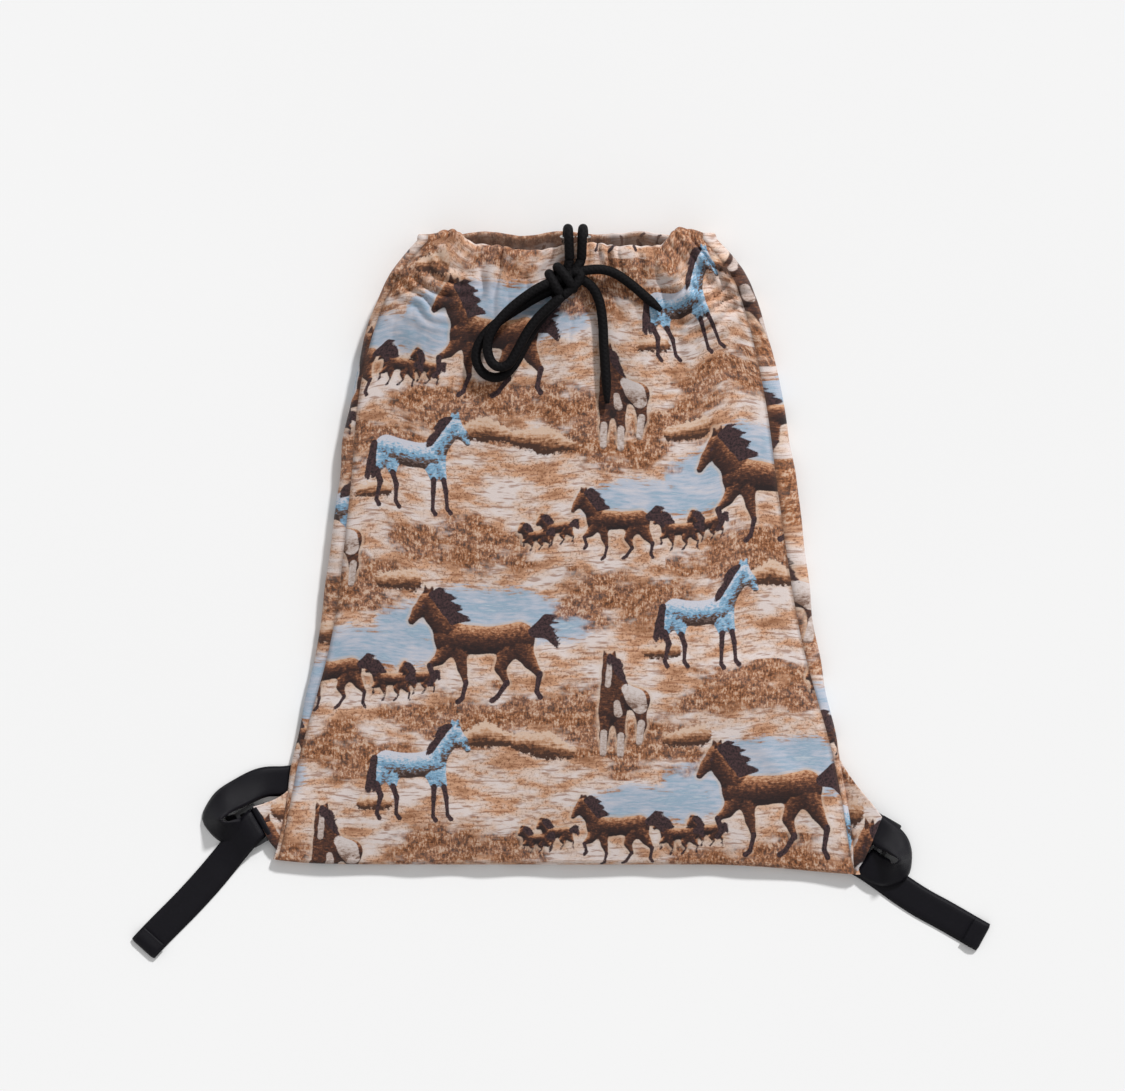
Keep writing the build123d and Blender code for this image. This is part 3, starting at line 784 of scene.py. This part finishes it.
def corner_droop(x, y):
    """How far the cloth hangs down toward the right lower corner, in mm."""
    across = np.clip((x - 86.0) / 105.0, 0, 1.05)
    return 10.0 * across**2 * (1 - smoothstep(y, BOTTOM_Y + 4, BOTTOM_Y + 46))


# Creases and slack folds of the front: height, start, end and width
FRONT_CREASES = [
    (6.5, (52, 196), (98, 150), 9.0),
    (-3.4, (70, 196), (112, 158), 6.0),
    (4.0, (84, 205), (116, 168), 6.5),
    (3.4, (-62, 200), (-96, 140), 11.0),
    (-2.6, (-78, 196), (-118, 150), 7.0),
    (1.8, (30, 150), (62, 80), 9.0),
    (1.6, (-20, 160), (-58, 84), 10.0),
    (1.6, (120, -120), (176, -186), 8.0),
    (1.4, (-118, -128), (-172, -190), 8.0),
]


def front_surface(across, share):
    """Points of the front: across -1 to 1, share 0 at the bottom to 1 at the rim, and past 1
    over the rolled edge and down the turned-in hem."""
    rim = rim_line(across)
    on_face = np.minimum(share, 1.0)
    past, roll_angle, hem_down = over_edge(share)
    roll_r = 4.6
    y = START_Y + on_face * (rim - roll_r - START_Y)
    width = half_width(y) - strip_width(across, y)
    x = across * width
    side, crown = side_height(y), crown_height(y)
    profile = 1 - np.abs(x / half_width(y)) ** (2.2 + 4.0 * smoothstep(y, 120, 186))
    z = side + (crown - side) * profile
    down = rim - y
    z = z + pleat_height(across, down)
    # Slack cloth: broad soft swells, puckers along the bottom seam, and drawn creases
    swell = 1.3 * value_noise(x / 58.0, y / 46.0, 1) + 0.7 * value_noise(x / 27.0, y / 31.0, 2)
    z = z + swell * smoothstep(y, BOTTOM_Y, BOTTOM_Y + 40) * 1.1
    z = z + 0.7 * np.sin(x / 9.5 + 2.0 * value_noise(x / 40.0, 0 * x, 4)) * np.exp(-(y - BOTTOM_Y) / 11.0)
    for height, start, end, crease_width in FRONT_CREASES:
        z = z + height * ridge(x, y, start, end, crease_width)
    z = z + 2.8 * ruffle(x, y, (97, 170), (0.62, -0.78), 9.4, 25.0)
    z = z + 2.3 * ruffle(x, y, (-90, 174), (-0.55, -0.83), 10.0, 21.0)
    # The turned-in cord keeps the casing up
    casing_y, casing_z = 180, 27.4
    z = np.where(y > casing_y, np.maximum(z, casing_z + 0.15 * (z - casing_z)), z)
    # The seams at both sides are pulled down into a groove
    edge_gap = (1 - np.abs(across)) * width
    z = z - 1.5 * bell(edge_gap, 2.2) * (0.8 + 0.4 * value_noise(y / 7.0, 0 * y, 31))
    # Rolled rim and turned-in hem, scalloped by the gathers
    scallop = np.abs(np.sin((across + 0.05 * value_noise(across * 6, 0 * across, 3)) * math.pi * PLEATS + 0.6))
    y = y + 1.5 * (scallop - 0.6) * np.exp(-np.maximum(down, 0) / 7.0)
    y = y + roll_r * np.sin(roll_angle)
    z = z - roll_r * (1 - np.cos(roll_angle))
    y = y - hem_down
    z = z - 0.12 * hem_down
    slack = 3.0 * value_noise(across * 7, y / 60.0, 41) * smoothstep(y, 120, 190)
    flat_x = PRINT_SHIFT + x * fullness(y) + slack
    flat_y = START_Y + share * (RIM_FRONT_Y - START_Y) * 1.01
    casing_stitch = bell(down - 25.0, 1.0) * 0.35
    # Painted shade on the cloth over the roll and down the hem, inside the mouth
    inside = PAINTED_MOUTH_SHADE * smoothstep(past, 0.5 * ROLL_SHARE, 1.3 * ROLL_SHARE)
    seam_and_mouth_shade = np.maximum(np.maximum(bell(edge_gap, 1.5), casing_stitch), inside)
    return x, y - corner_droop(x, y), z, flat_x, flat_y, seam_and_mouth_shade


def back_lift(across, down):
    """How far the back's rim is drawn up off the floor by the cord."""
    return 8.5 * smoothstep(-down, -34, -2) * (1 - np.abs(across) ** 6)


def back_surface(across, share):
    """Points of the back, which lies on the straps and the floor."""
    on_face = np.minimum(share, 1.0)
    past, roll_angle, hem_down = over_edge(share)
    roll_r = 3.6
    rim = RIM_BACK_Y + 1.2 * np.sin(across * 11.0 + 2.0) + 0.8 * value_noise(across * 9, 0 * across, 61)
    y = START_Y + on_face * (rim - roll_r - START_Y)
    x = across * (half_width(y) - strip_width(across, np.minimum(y, 206.0)))
    z = BACK_Z + 0 * x
    gather = np.abs(np.sin(across * math.pi * 9.0 + 0.4)) - 0.5
    z = z + 2.4 * np.maximum(gather + 0.5, 0) * np.exp(-np.maximum(rim - y, 0) / 26.0) * (share <= 1.0)
    z = z + back_lift(across, rim - y)
    y = y + roll_r * np.sin(roll_angle)
    z = z + roll_r * (1 - np.cos(roll_angle))
    y = y - hem_down
    z = z + 1.8 * np.where(past > 0, 1, 0) * gather
    flat_x = -x * fullness(y) + 24.0
    flat_y = START_Y + share * (RIM_BACK_Y - START_Y) + 88.0
    edge_gap = (1 - np.abs(across)) * half_width(y)
    # Painted shade on the back's turned-in hem, inside the mouth
    inside = PAINTED_MOUTH_SHADE * smoothstep(past, 0.016, 0.032)
    return x, y - corner_droop(x, y), z, flat_x, flat_y, np.maximum(bell(edge_gap, 1.5), inside)


def gusset_surface(turn, share, sign):
    """Points of a side strip: turn 0 at the front seam to 1 at the back seam."""
    across = sign * np.ones_like(turn)
    front_x, front_y, front_z, flat_x, flat_y, _ = front_surface(across, share)
    back_x, back_y, back_z, *_ = back_surface(across, share)
    rolled = smoothstep(share, 1.0, 1.0 + ROLL_SHARE)
    blend = smoothstep(turn, 0.0, 1.0)
    angle = np.pi / 2 - np.pi * turn
    belly = strip_width(across, front_y) + 0.9 * value_noise(front_y / 24.0, turn * 2, 51 + sign)
    belly = belly * np.cos(angle) * (1 - 0.36 * rolled)
    x = front_x + blend * (back_x - front_x) + sign * belly
    y = front_y + blend * (back_y - front_y)
    z = (front_z + back_z) / 2 + (front_z - back_z) / 2 * np.sin(angle)
    # Each strip is cut from its own place in the print
    print_shift = 80.0 if sign > 0 else 55.0
    flat = flat_x + sign * turn * 16.0 + print_shift
    seam_and_mouth_shade = np.maximum(bell(turn, 0.05), bell(1 - turn, 0.05))
    # Painted shade on the side strip past the rim, inside the mouth
    inside = PAINTED_MOUTH_SHADE * smoothstep(share, 1.016, 1.036)
    return x, y, z, flat, flat_y + 37.0, np.maximum(seam_and_mouth_shade, inside)


def bottom_surface(across, turn):
    """Points of the strip that closes the bottom, from the front seam round to the back."""
    share = np.zeros_like(across)
    x0, y0, z0, flat_x, flat_y, _ = front_surface(across, share)
    angle = np.pi / 2 - np.pi * turn
    ends = np.abs(across) ** 10
    x = x0 + across * strip_width(across, y0) * np.cos(angle) * np.abs(across) ** 3
    y = y0 - 3.4 * np.cos(angle) * (1 - ends)
    z = (z0 + BACK_Z) / 2 + (z0 - BACK_Z) / 2 * np.sin(angle)
    return x, y, z, flat_x, flat_y - 12.0 * turn, 0.4 * bell(turn, 0.1)


def grid_object(name, surface, u_values, v_values):
    """A sheet over a grid of the two parameters, with the print painted on it."""
    u, v = np.meshgrid(u_values, v_values)
    x, y, z, flat_x, flat_y, seam_and_mouth_shade = (np.asarray(a, float).ravel() for a in surface(u.ravel(), v.ravel()))
    z = np.maximum(z, CLOTH_LOWEST)
    columns, rows = len(u_values), len(v_values)
    index = np.arange(columns * rows).reshape(rows, columns)
    faces = np.stack([index[:-1, :-1], index[:-1, 1:], index[1:, 1:], index[1:, :-1]], -1).reshape(-1, 4)
    mesh = bpy.data.meshes.new(name)
    mesh.vertices.add(len(x))
    mesh.vertices.foreach_set("co", (np.stack([x, y, z], 1) * M).astype(np.float32).ravel())
    mesh.loops.add(faces.size)
    mesh.loops.foreach_set("vertex_index", faces.ravel().astype(np.int32))
    mesh.polygons.add(len(faces))
    mesh.polygons.foreach_set("loop_start", np.arange(0, faces.size, 4, dtype=np.int32))
    mesh.update(calc_edges=True)
    paint_print(mesh, np.stack([flat_x, flat_y], 1), seam_and_mouth_shade)
    return new_piece(name, mesh, CANVAS)


def make_bag():
    """The cloth shell in the pieces that it is sewn from."""
    seam_share = 0.935
    below = np.linspace(0.0, seam_share, 270)
    # Up to the rim, over the roll, and down the hem
    above = np.concatenate([
        np.linspace(seam_share, 1.0, 24), np.linspace(1.003, 1.0 + ROLL_SHARE, 9), np.linspace(1.04, 1.13, 8),
    ])
    whole = np.concatenate([below, above[1:]])
    front_u = np.linspace(-1, 1, 271)
    back_u = np.linspace(-1, 1, 161)
    turn = np.linspace(0, 1, 15)

    front = grid_object("front_panel_cloth", front_surface, front_u, below)
    casing = grid_object("front_casing_cloth", front_surface, front_u, above)
    back = grid_object("back_panel_cloth", back_surface, back_u, below)
    back_casing = grid_object("back_casing_cloth", back_surface, back_u, above)
    left = grid_object("left_gusset_cloth", lambda u, v: gusset_surface(u, v, -1.0), turn, whole)
    right = grid_object("right_gusset_cloth", lambda u, v: gusset_surface(u, v, 1.0), turn, whole)
    bottom = grid_object("bottom_strip_cloth", bottom_surface, front_u, turn)
    for piece, node in (
        (front, "front_panel"),
        (casing, "front_casing"),
        (back, "back_panel"),
        (back_casing, "back_casing"),
        (left, "left_gusset"),
        (right, "right_gusset"),
        (bottom, "bottom_strip"),
    ):
        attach(piece, "root")
        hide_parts(node)


# ---------------------------------------------------------------- webbing
def spline_points(knots, count):
    """Points along a smooth curve through knots of any dimension, evenly spaced in length."""
    knots = np.asarray(knots, float)
    steps = np.linalg.norm(np.diff(knots[:, :3], axis=0), axis=1)
    at = np.concatenate([[0], np.cumsum(steps)])
    curves = [smooth_curve(list(zip(at, knots[:, i]))) for i in range(knots.shape[1])]
    dense = np.stack([c(np.linspace(0, at[-1], 900)) for c in curves], 1)
    run = np.concatenate([[0], np.cumsum(np.linalg.norm(np.diff(dense[:, :3], axis=0), axis=1))])
    target = np.linspace(0, run[-1], count)
    return np.stack([np.interp(target, run, dense[:, i]) for i in range(dense.shape[1])], 1), run[-1]


def ribbon(name, knots, count, square=True):
    """Flat webbing along knots of (x, y, z, sx, sy, sz): place, and direction across the webbing.

    Where it isn't square, the given direction stands as it is, as round an oblique fold.
    """
    points, length = spline_points(knots, count)
    centre, across = points[:, :3], points[:, 3:]
    centre[:, 2] = np.maximum(centre[:, 2], WEB_LOWEST_CENTRE)
    tangent = unit(np.gradient(centre, axis=0))
    if square:
        across = unit(across - (across * tangent).sum(1)[:, None] * tangent)
    normal = unit(np.cross(tangent, across))
    # Cross-section: a flat band whose edges are slightly rounded
    section = []
    for side in (1, -1):
        for s in np.linspace(-side, side, 9):
            pinch = 0.5 * WEB_T * math.sqrt(max(0.0, 1 - abs(s) ** 14))
            section.append((s * WEB_HALF_W, side * pinch))
    ring = len(section)
    verts, web = [], []
    for i in range(count):
        along = i * length / (count - 1)
        for s, h in section:
            place = centre[i] + across[i] * s + normal[i] * h
            place[2] = max(place[2], WEB_LOWEST)
            verts.append(place * M)
            web.append((along, s, h))
    mesh = mesh_of(name, verts, tube_faces(count, ring))
    write_vector(mesh, "web", *np.array(web).T)
    tidy = bmesh.new()
    tidy.from_mesh(mesh)
    bmesh.ops.remove_doubles(tidy, verts=tidy.verts, dist=1e-6)
    bmesh.ops.recalc_face_normals(tidy, faces=tidy.faces)
    tidy.to_mesh(mesh)
    tidy.free()
    return new_piece(name, mesh, WEBBING)


def level_knots(route, heights, rolls):
    """Knots for webbing along a plan route: across it is the level left-hand side, rolled."""
    knots = []
    for i, (x, y) in enumerate(route):
        before = route[max(i - 1, 0)]
        after = route[min(i + 1, len(route) - 1)]
        direction = Vector((after[0] - before[0], after[1] - before[1], 0)).normalized()
        side = Vector((-direction.y, direction.x, 0))
        roll = math.radians(rolls[i])
        across = side * math.cos(roll) + Vector((0, 0, 1)) * math.sin(roll)
        knots.append((x, y, heights[i], *across))
    return knots


# Direction of the left slider's bars, and how much wider the webbing lies across them
BAR = Vector((0.5, -0.867, 0.0))
BAR_STRETCH = 1.05
STRAP_ROUTE_LEFT = [(-22, 149), (-30, 95), (-52, 25), (-88, -50), (-126, -115), (-153, -145)]
STRAP_ROUTE_RIGHT = [(22, 149), (30, 95), (52, 25), (92, -55), (142, -130), (167, -153.5)]


def make_webbing():
    """Both shoulder straps with their side loops, and both tails with folded hems."""
    left_loop = [
        (-186.6, -153.2), (-201, -154), (-216, -160.5), (-229, -168.5), (-235.5, -178.5),
        (-228, -185.5), (-216, -187), (-206, -184),
    ]
    left = ribbon(
        "left_shoulder_webbing",
        level_knots(
            STRAP_ROUTE_LEFT + left_loop,
            [1.0] * len(STRAP_ROUTE_LEFT) + [1.6, 2.6, 4.6, 7.4, 8.6, 6.6, 3.8, 1.8],
            [0.0] * len(STRAP_ROUTE_LEFT) + [0, 4, 16, 34, 48, 40, 16, 0],
        ),
        200,
    )
    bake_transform(left)
    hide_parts("left_shoulder_strap", "left_strap_loop")

    right_loop = [
        (188, -173.5), (200, -181.5), (211, -189), (219, -195.5), (223.6, -204),
        (218, -213), (208, -212.5), (197, -206),
    ]
    right = ribbon(
        "right_shoulder_webbing",
        level_knots(
            STRAP_ROUTE_RIGHT + right_loop,
            [1.0] * len(STRAP_ROUTE_RIGHT) + [2.0, 7.4, 8.2, 9.8, 11.0, 9.4, 6.8, 4.6],
            [0.0] * len(STRAP_ROUTE_RIGHT) + [0, 0, -10, -34, -58, -34, -10, 0],
        ),
        200,
    )
    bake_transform(right)
    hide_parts("right_shoulder_strap", "right_strap_loop")

    def tail(name, start, end, lead, rise, sway, nodes):
        """A tail from start to end. lead holds ready-made knots before it, and rise holds
        (distance, height) knots along it; sway gives its sideways shift by share of its
        length. The end is folded back into a hem."""
        run = Vector((end[0] - start[0], end[1] - start[1], 0))
        length = run.length
        run.normalize()
        side = Vector((-run.y, run.x, 0))
        low = rise[-1][1]
        layer = 1.9
        hem = [
            (length - 22, low), (length - 12, low), (length - 2.0, low), (length, low + layer / 2),
            (length - 2.0, low + layer), (length - 11.0, low + layer),
        ]
        knots = list(lead)
        for s, z in list(rise) + hem:
            place = Vector((start[0], start[1], 0)) + run * s
            place += side * sway(s / length)
            skew = 1 - min(max((s - 14) / 26, 0), 1)
            across = side.lerp(BAR * BAR_STRETCH, skew) if lead else side
            knots.append((place.x, place.y, z, *across))
        piece = ribbon(name, knots, 170, square=not lead)
        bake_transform(piece)
        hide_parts(*nodes)

    # The left tail comes up through the slider and turns over its middle bar at a slant
    bar_centre = Vector((-207.5, -182.6, 0))
    outward = Vector((-0.867, -0.5, 0))
    under = [(14.0, 1.4), (7.0, 1.6), (2.0, 1.7), (-1.6, 2.2), (-3.0, 3.8), (-1.9, 5.4)]
    lead = [
        (*(bar_centre + outward * q - BAR * 0.32 * max(q, 0) + Vector((0, 0, z))), *(BAR * BAR_STRETCH))
        for q, z in under
    ]
    tail(
        "left_tail_webbing",
        (-207.5, -182.6), (-281.2, -264.3), lead,
        [(1.6, 6.1), (7.4, 5.9), (13.0, 4.4), (20.0, 2.2), (29.0, 1.1), (44, 0.9), (70, 0.9)],
        lambda share: 1.8 * math.sin(math.pi * min(max(share, 0), 1)) ** 2,
        ("left_strap_tail",),
    )
    tail(
        "right_tail_webbing",
        (217.5, -225.2), (275.9, -256.9), [],
        [(-34, 1.6), (-24, 1.2), (-12, 1.0), (4, 0.9), (20, 0.9), (36, 0.9)],
        lambda share: 5.4 * (1 - float(smoothstep(share, -0.5, 0.42)))
        + 0.6 * math.sin(math.pi * min(max(share, 0), 1)) ** 2,
        ("right_strap_tail", "right_strap_return"),
    )


# ---------------------------------------------------------------- cord
def nurbs_points(route):
    """Points along the smooth line that the route's points control, in metres."""
    curve = bpy.data.curves.new("route", "CURVE")
    curve.dimensions = "3D"
    curve.resolution_u = 10
    spline = curve.splines.new("NURBS")
    spline.points.add(len(route) - 1)
    for point, place in zip(spline.points, route):
        point.co = (place[0] * M, place[1] * M, place[2] * M, 1.0)
    spline.order_u = 3
    spline.use_endpoint_u = True
    holder = bpy.data.objects.new("route", curve)
    mesh = bpy.data.meshes.new_from_object(holder)
    points = [v.co.copy() for v in mesh.vertices]
    bpy.data.objects.remove(holder)
    bpy.data.meshes.remove(mesh)
    bpy.data.curves.remove(curve)
    return points


def tube_mesh(paths, radius, closed, taper):
    """Round tubes along lists of points: vertices, faces and a braid map."""
    around = 18
    tapered_rings = 6
    end_share = 0.82
    verts, faces, braid = [], [], []
    for points in paths:
        count = len(points)
        faces += tube_faces(count, around, closed, len(verts))
        normal = None
        along = 0.0
        for i, here in enumerate(points):
            before = points[i - 1] if (closed or i > 0) else here
            after = points[(i + 1) % count] if (closed or i < count - 1) else here
            tangent = (after - before).normalized()
            if normal is None:
                normal = tangent.orthogonal().normalized()
            normal = (normal - tangent * normal.dot(tangent)).normalized()
            across = tangent.cross(normal)
            if i:
                along += (here - points[i - 1]).length
            r = radius
            from_end = count - 1 - i
            if taper and from_end < tapered_rings:
                r = radius * (1 - taper * ((tapered_rings - from_end) / tapered_rings) ** 2)
            elif not closed and (i == 0 or from_end == 0):
                r = radius * end_share
            for k in range(around):
                angle = 2 * math.pi * k / around
                verts.append(here + (normal * math.cos(angle) + across * math.sin(angle)) * r)
                braid.append((along / M, k / around, 0.0))
    return verts, faces, braid


def cord_object(name, paths, body, closed=False, taper=0.0, radius=CORD_R * M):
    """A braided cord piece riding on a body."""
    verts, faces, braid = tube_mesh(paths, radius, closed, taper)
    mesh = mesh_of(name, verts, faces)
    write_vector(mesh, "braid", *np.array(braid).T)
    piece = new_piece(name, mesh, CORD)
    if body:
        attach(piece, body)
    return piece


EYELET_X = (0.0, 11.0)


def strand_route(start_x, knot_x):
    """One strand from inside its eyelet, over the rim, to the back of the knot."""
    shift = knot_x - start_x
    return [
        (start_x, 200.9, 24.4),
        (start_x + 0.1 * shift, 206.5, 25.9),
        (start_x + 0.2 * shift, 210.4, 29.5),
        (start_x + 0.4 * shift, 210.9, 35.6),
        (start_x + 0.6 * shift, 207.2, 40.2),
        (start_x + 0.8 * shift, 200.0, 40.6),
        (knot_x, 189.5, 37.2),
    ]


OUTER_LOOP_ROUTE = [
    (-4.0, 173.0, 34.0), (-17.0, 167.5, 34.0), (-31.0, 159.0, 33.6), (-46.0, 149.5, 33.2),
    (-57.0, 138.5, 33.0), (-61.0, 125.5, 32.8), (-54.5, 114.0, 32.8), (-42.5, 112.5, 32.8),
    (-33.5, 122.5, 32.8), (-27.0, 136.0, 33.0), (-18.5, 150.5, 33.4), (-8.5, 161.0, 34.0),
    (0.0, 170.0, 34.0),
]
INNER_LOOP_ROUTE = [
    (-2.0, 178.5, 38.6), (-14.5, 174.0, 40.6), (-28.0, 165.5, 40.5), (-40.5, 155.0, 40.2),
    (-50.0, 143.0, 39.6), (-53.0, 131.0, 38.4), (-48.5, 120.0, 38.4), (-39.0, 119.5, 39.2),
    (-33.0, 129.5, 39.7), (-25.0, 145.0, 40.2), (-14.5, 157.0, 40.6), (-3.0, 166.0, 40.9),
]
LONG_TAIL_ROUTE = [
    (4.0, 180.0, 36.0), (14.0, 176.0, 36.0), (21.0, 165.5, 34.6), (23.5, 150.5, 33.6),
    (24.0, 133.0, 33.2), (25.6, 115.0, 33.0), (26.3, 96.0, 32.8),
]
SHORT_TAIL_ROUTE = [
    (3.0, 181.0, 38.4), (16.0, 184.3, 37.8), (29.0, 183.0, 36.0), (40.5, 175.5, 34.6),
    (51.5, 166.0, 33.8), (61.8, 157.0, 33.6),
]


def make_cords():
    """The two strands, the knot's wraps, the two bow loops and the two tails."""
    def wrap(centre, axis, wide, tall):
        """A closed turn of cord about an axis."""
        count = 36
        axis = Vector(axis).normalized()
        side = axis.cross(Vector((0, 0, 1))).normalized()
        up = side.cross(axis)
        found = []
        for k in range(count):
            angle = 2 * math.pi * k / count
            found.append((Vector(centre) + side * wide * math.cos(angle) + up * tall * math.sin(angle)) * M)
        return found

    turns = [
        wrap((-7.5, 173.5, 36.6), (0.86, 0.5, 0.1), 8.4, 5.2),
        wrap((-1.2, 178.0, 37.4), (0.80, 0.58, -0.12), 8.8, 5.4),
    ]
    knot = cord_object("bow_knot_turns", turns, "bow", closed=True)
    # Both strands come into the knot from behind, and each loop and tail leaves it in front
    through = [
        [(1.6, 190.5, 37.0), (1.0, 185.0, 36.2), (-1.5, 178.5, 35.8), (-4.0, 173.0, 34.6), (-8.0, 171.0, 34.2)],
        [(9.4, 190.5, 37.0), (7.0, 184.5, 37.6), (2.0, 179.5, 38.2), (-2.0, 178.5, 38.6), (-7.0, 176.5, 39.6)],
        [(-9.0, 164.0, 34.2), (-1.0, 169.5, 34.4), (6.0, 174.0, 35.0), (9.0, 178.0, 35.8), (4.0, 180.0, 36.0)],
        [(-3.0, 166.0, 40.4), (2.5, 170.5, 40.2), (8.0, 176.5, 39.6), (9.5, 182.0, 38.8), (3.0, 181.0, 38.4)],
    ]
    core = cord_object("bow_knot_core", [nurbs_points(route) for route in through], "bow")
    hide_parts("bow_knot")
    # The cord in the casing: from one eyelet round by the back to the other
    turn_r, turn_x, turn_z, front_z = 6.4, 89, 16.4, 22.8
    half_turn = np.linspace(0, math.pi, 9)
    hidden = [(EYELET_X[0] - 4, front_z)]
    hidden += [(-turn_x - turn_r * math.sin(a), turn_z + turn_r * math.cos(a)) for a in half_turn]
    hidden += [(turn_x + turn_r * math.sin(a), turn_z - turn_r * math.cos(a)) for a in half_turn]
    hidden += [(EYELET_X[1] + 4, front_z)]
    path = [Vector((x, 192.0, z)) * M for x, z in hidden]
    inside = cord_object("casing_cord_inside", [path], "root", radius=CASING_CORD_R * M)
    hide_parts("casing_cord")
    for side, start_x, knot_x in (("left", EYELET_X[0], 1.6), ("right", EYELET_X[1], 9.4)):
        points = nurbs_points(strand_route(start_x, knot_x))
        strand = cord_object(side + "_strand", [points], None)
        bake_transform(strand)
        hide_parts(side + "_cord_strand")
    for name, route, node, length, end in (
        ("outer_loop", OUTER_LOOP_ROUTE, "outer_bow_loop", 0.168, "knot"),
        ("inner_loop", INNER_LOOP_ROUTE, "inner_bow_loop", 0.150, "knot"),
        ("long_tail", LONG_TAIL_ROUTE, "long_cord_tail", 0.092, "bare"),
        ("short_tail", SHORT_TAIL_ROUTE, "short_cord_tail", 0.068, "bare"),
    ):
        points = nurbs_points(route)
        piece = cord_object(name, [points], "bow", taper=0.55 if end == "bare" else 0.0)
        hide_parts(node)


# ---------------------------------------------------------------- eyelets
def make_eyelets():
    """Rolled metal eyelets, turned about the axis of each CAD one."""
    # Radius and height along the axis, round the rolled metal's section
    profile = [
        (3.3, -3.8), (3.3, -0.4), (3.5, 0.5), (4.1, 0.95), (4.7, 0.7),
        (4.95, 0.1), (4.7, -0.1), (3.75, -0.1), (3.7, -3.8),
    ]
    tilt = math.radians(15.0)
    axis = Vector((0, math.cos(tilt), math.sin(tilt)))
    right = Vector((1, 0, 0))
    up = axis.cross(right)
    around = 40
    for side, x in zip(("left", "right"), EYELET_X):
        centre = Vector((x, 205.6, 25.6))
        verts = []
        for k in range(around):
            angle = 2 * math.pi * k / around
            spoke = right * math.cos(angle) + up * math.sin(angle)
            verts += [(centre + spoke * r + axis * h) * M for r, h in profile]
        name = side + "_eyelet_ring"
        mesh = mesh_of(name, verts, tube_faces(around, len(profile), closed=True))
        ring = new_piece(name, mesh, METAL)
        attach(ring, "root")
        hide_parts(side + "_eyelet")


# ---------------------------------------------------------------- tabs
def make_tabs():
    """Triangles of doubled canvas at the lower corners."""
    # Base line, outer line, height of each line, and which side of the bag
    outlines = {
        "left": (
            [(-182.5, -158), (-185.5, -171), (-188.0, -184), (-191.5, -200)],
            [(-208.0, -170.0), (-206.0, -176.5), (-202.0, -184), (-197.0, -193.5)],
            [4.4, 5.8], -1,
        ),
        "right": (
            [(177.5, -135), (182.0, -158), (186.5, -180), (189.8, -201.0)],
            [(208.4, -174.2), (204.5, -181.5), (198.5, -192), (191.6, -202.0)],
            [4.6, 10.5], 1,
        ),
    }
    count = 41
    places = np.arange(count)
    for side, (base, outer, heights, sign) in outlines.items():
        inner_line, _ = spline_points([(x, y, 0) for x, y in base], count)
        outer_line, _ = spline_points([(x, y, 0) for x, y in outer], count)

        def surface(u, v, inner_line=inner_line, outer_line=outer_line, heights=heights, sign=sign):
            """u along the base from its top corner, v from the base outwards."""
            t = u * (count - 1)
            bx, by = np.interp(t, places, inner_line[:, 0]), np.interp(t, places, inner_line[:, 1])
            ox, oy = np.interp(t, places, outer_line[:, 0]), np.interp(t, places, outer_line[:, 1])
            hollow = 5.0 * v * (1 - v) * (1 - smoothstep(u, 0.0, 0.45))
            x = bx + v * (ox - bx) - sign * hollow
            y = by + v * (oy - by) - hollow
            z = heights[0] + v * (heights[1] - heights[0]) + 1.4 * np.sin(np.pi * v) * (1 - v)
            z = z + 0.5 * value_noise(x / 11.0, y / 11.0, 71) - 0.9 * bell(v, 0.12)
            z = z - 0.5 * bell(1 - v, 0.05)
            return x, y - corner_droop(x, y), z, x * sign + 11.0, y + 52.0, 0.6 * bell(v, 0.08)

        piece = grid_object(side + "_tab_cloth", surface, np.linspace(0, 1, count), np.linspace(0, 1, 33))
        thick = piece.modifiers.new("two_layers", "SOLIDIFY")
        thick.thickness = 1.5 * M
        thick.offset = -1.0 * sign
        thick.use_rim = True
        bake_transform(piece)
        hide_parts(side + "_tab")


# ---------------------------------------------------------------- make everything
make_camera()
make_lights()
CANVAS = canvas_material()
WEBBING = webbing_material()
CORD = cord_material()
METAL = metal_material()
PLASTIC = plastic_material()
make_cords()
make_bag()
make_webbing()
make_eyelets()
make_tabs()

# The CAD solids that show as they are
for node, material in (
    ("left_slider", PLASTIC),
    ("right_slider", PLASTIC),
    ("left_slider_keeper", WEBBING),
    ("right_slider_keeper", WEBBING),
    ("strap_anchor_patch", CANVAS),
):
    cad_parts[node].material_slots[0].material = material

floor_mesh = bpy.data.meshes.new("floor")
floor_mesh.from_pydata([(-3, -3, 0), (3, -3, 0), (3, 3, 0), (-3, 3, 0)], [], [(0, 1, 2, 3)])
floor = bpy.data.objects.new("floor", floor_mesh)
floor_mesh.materials.append(floor_material())
scene.collection.objects.link(floor)
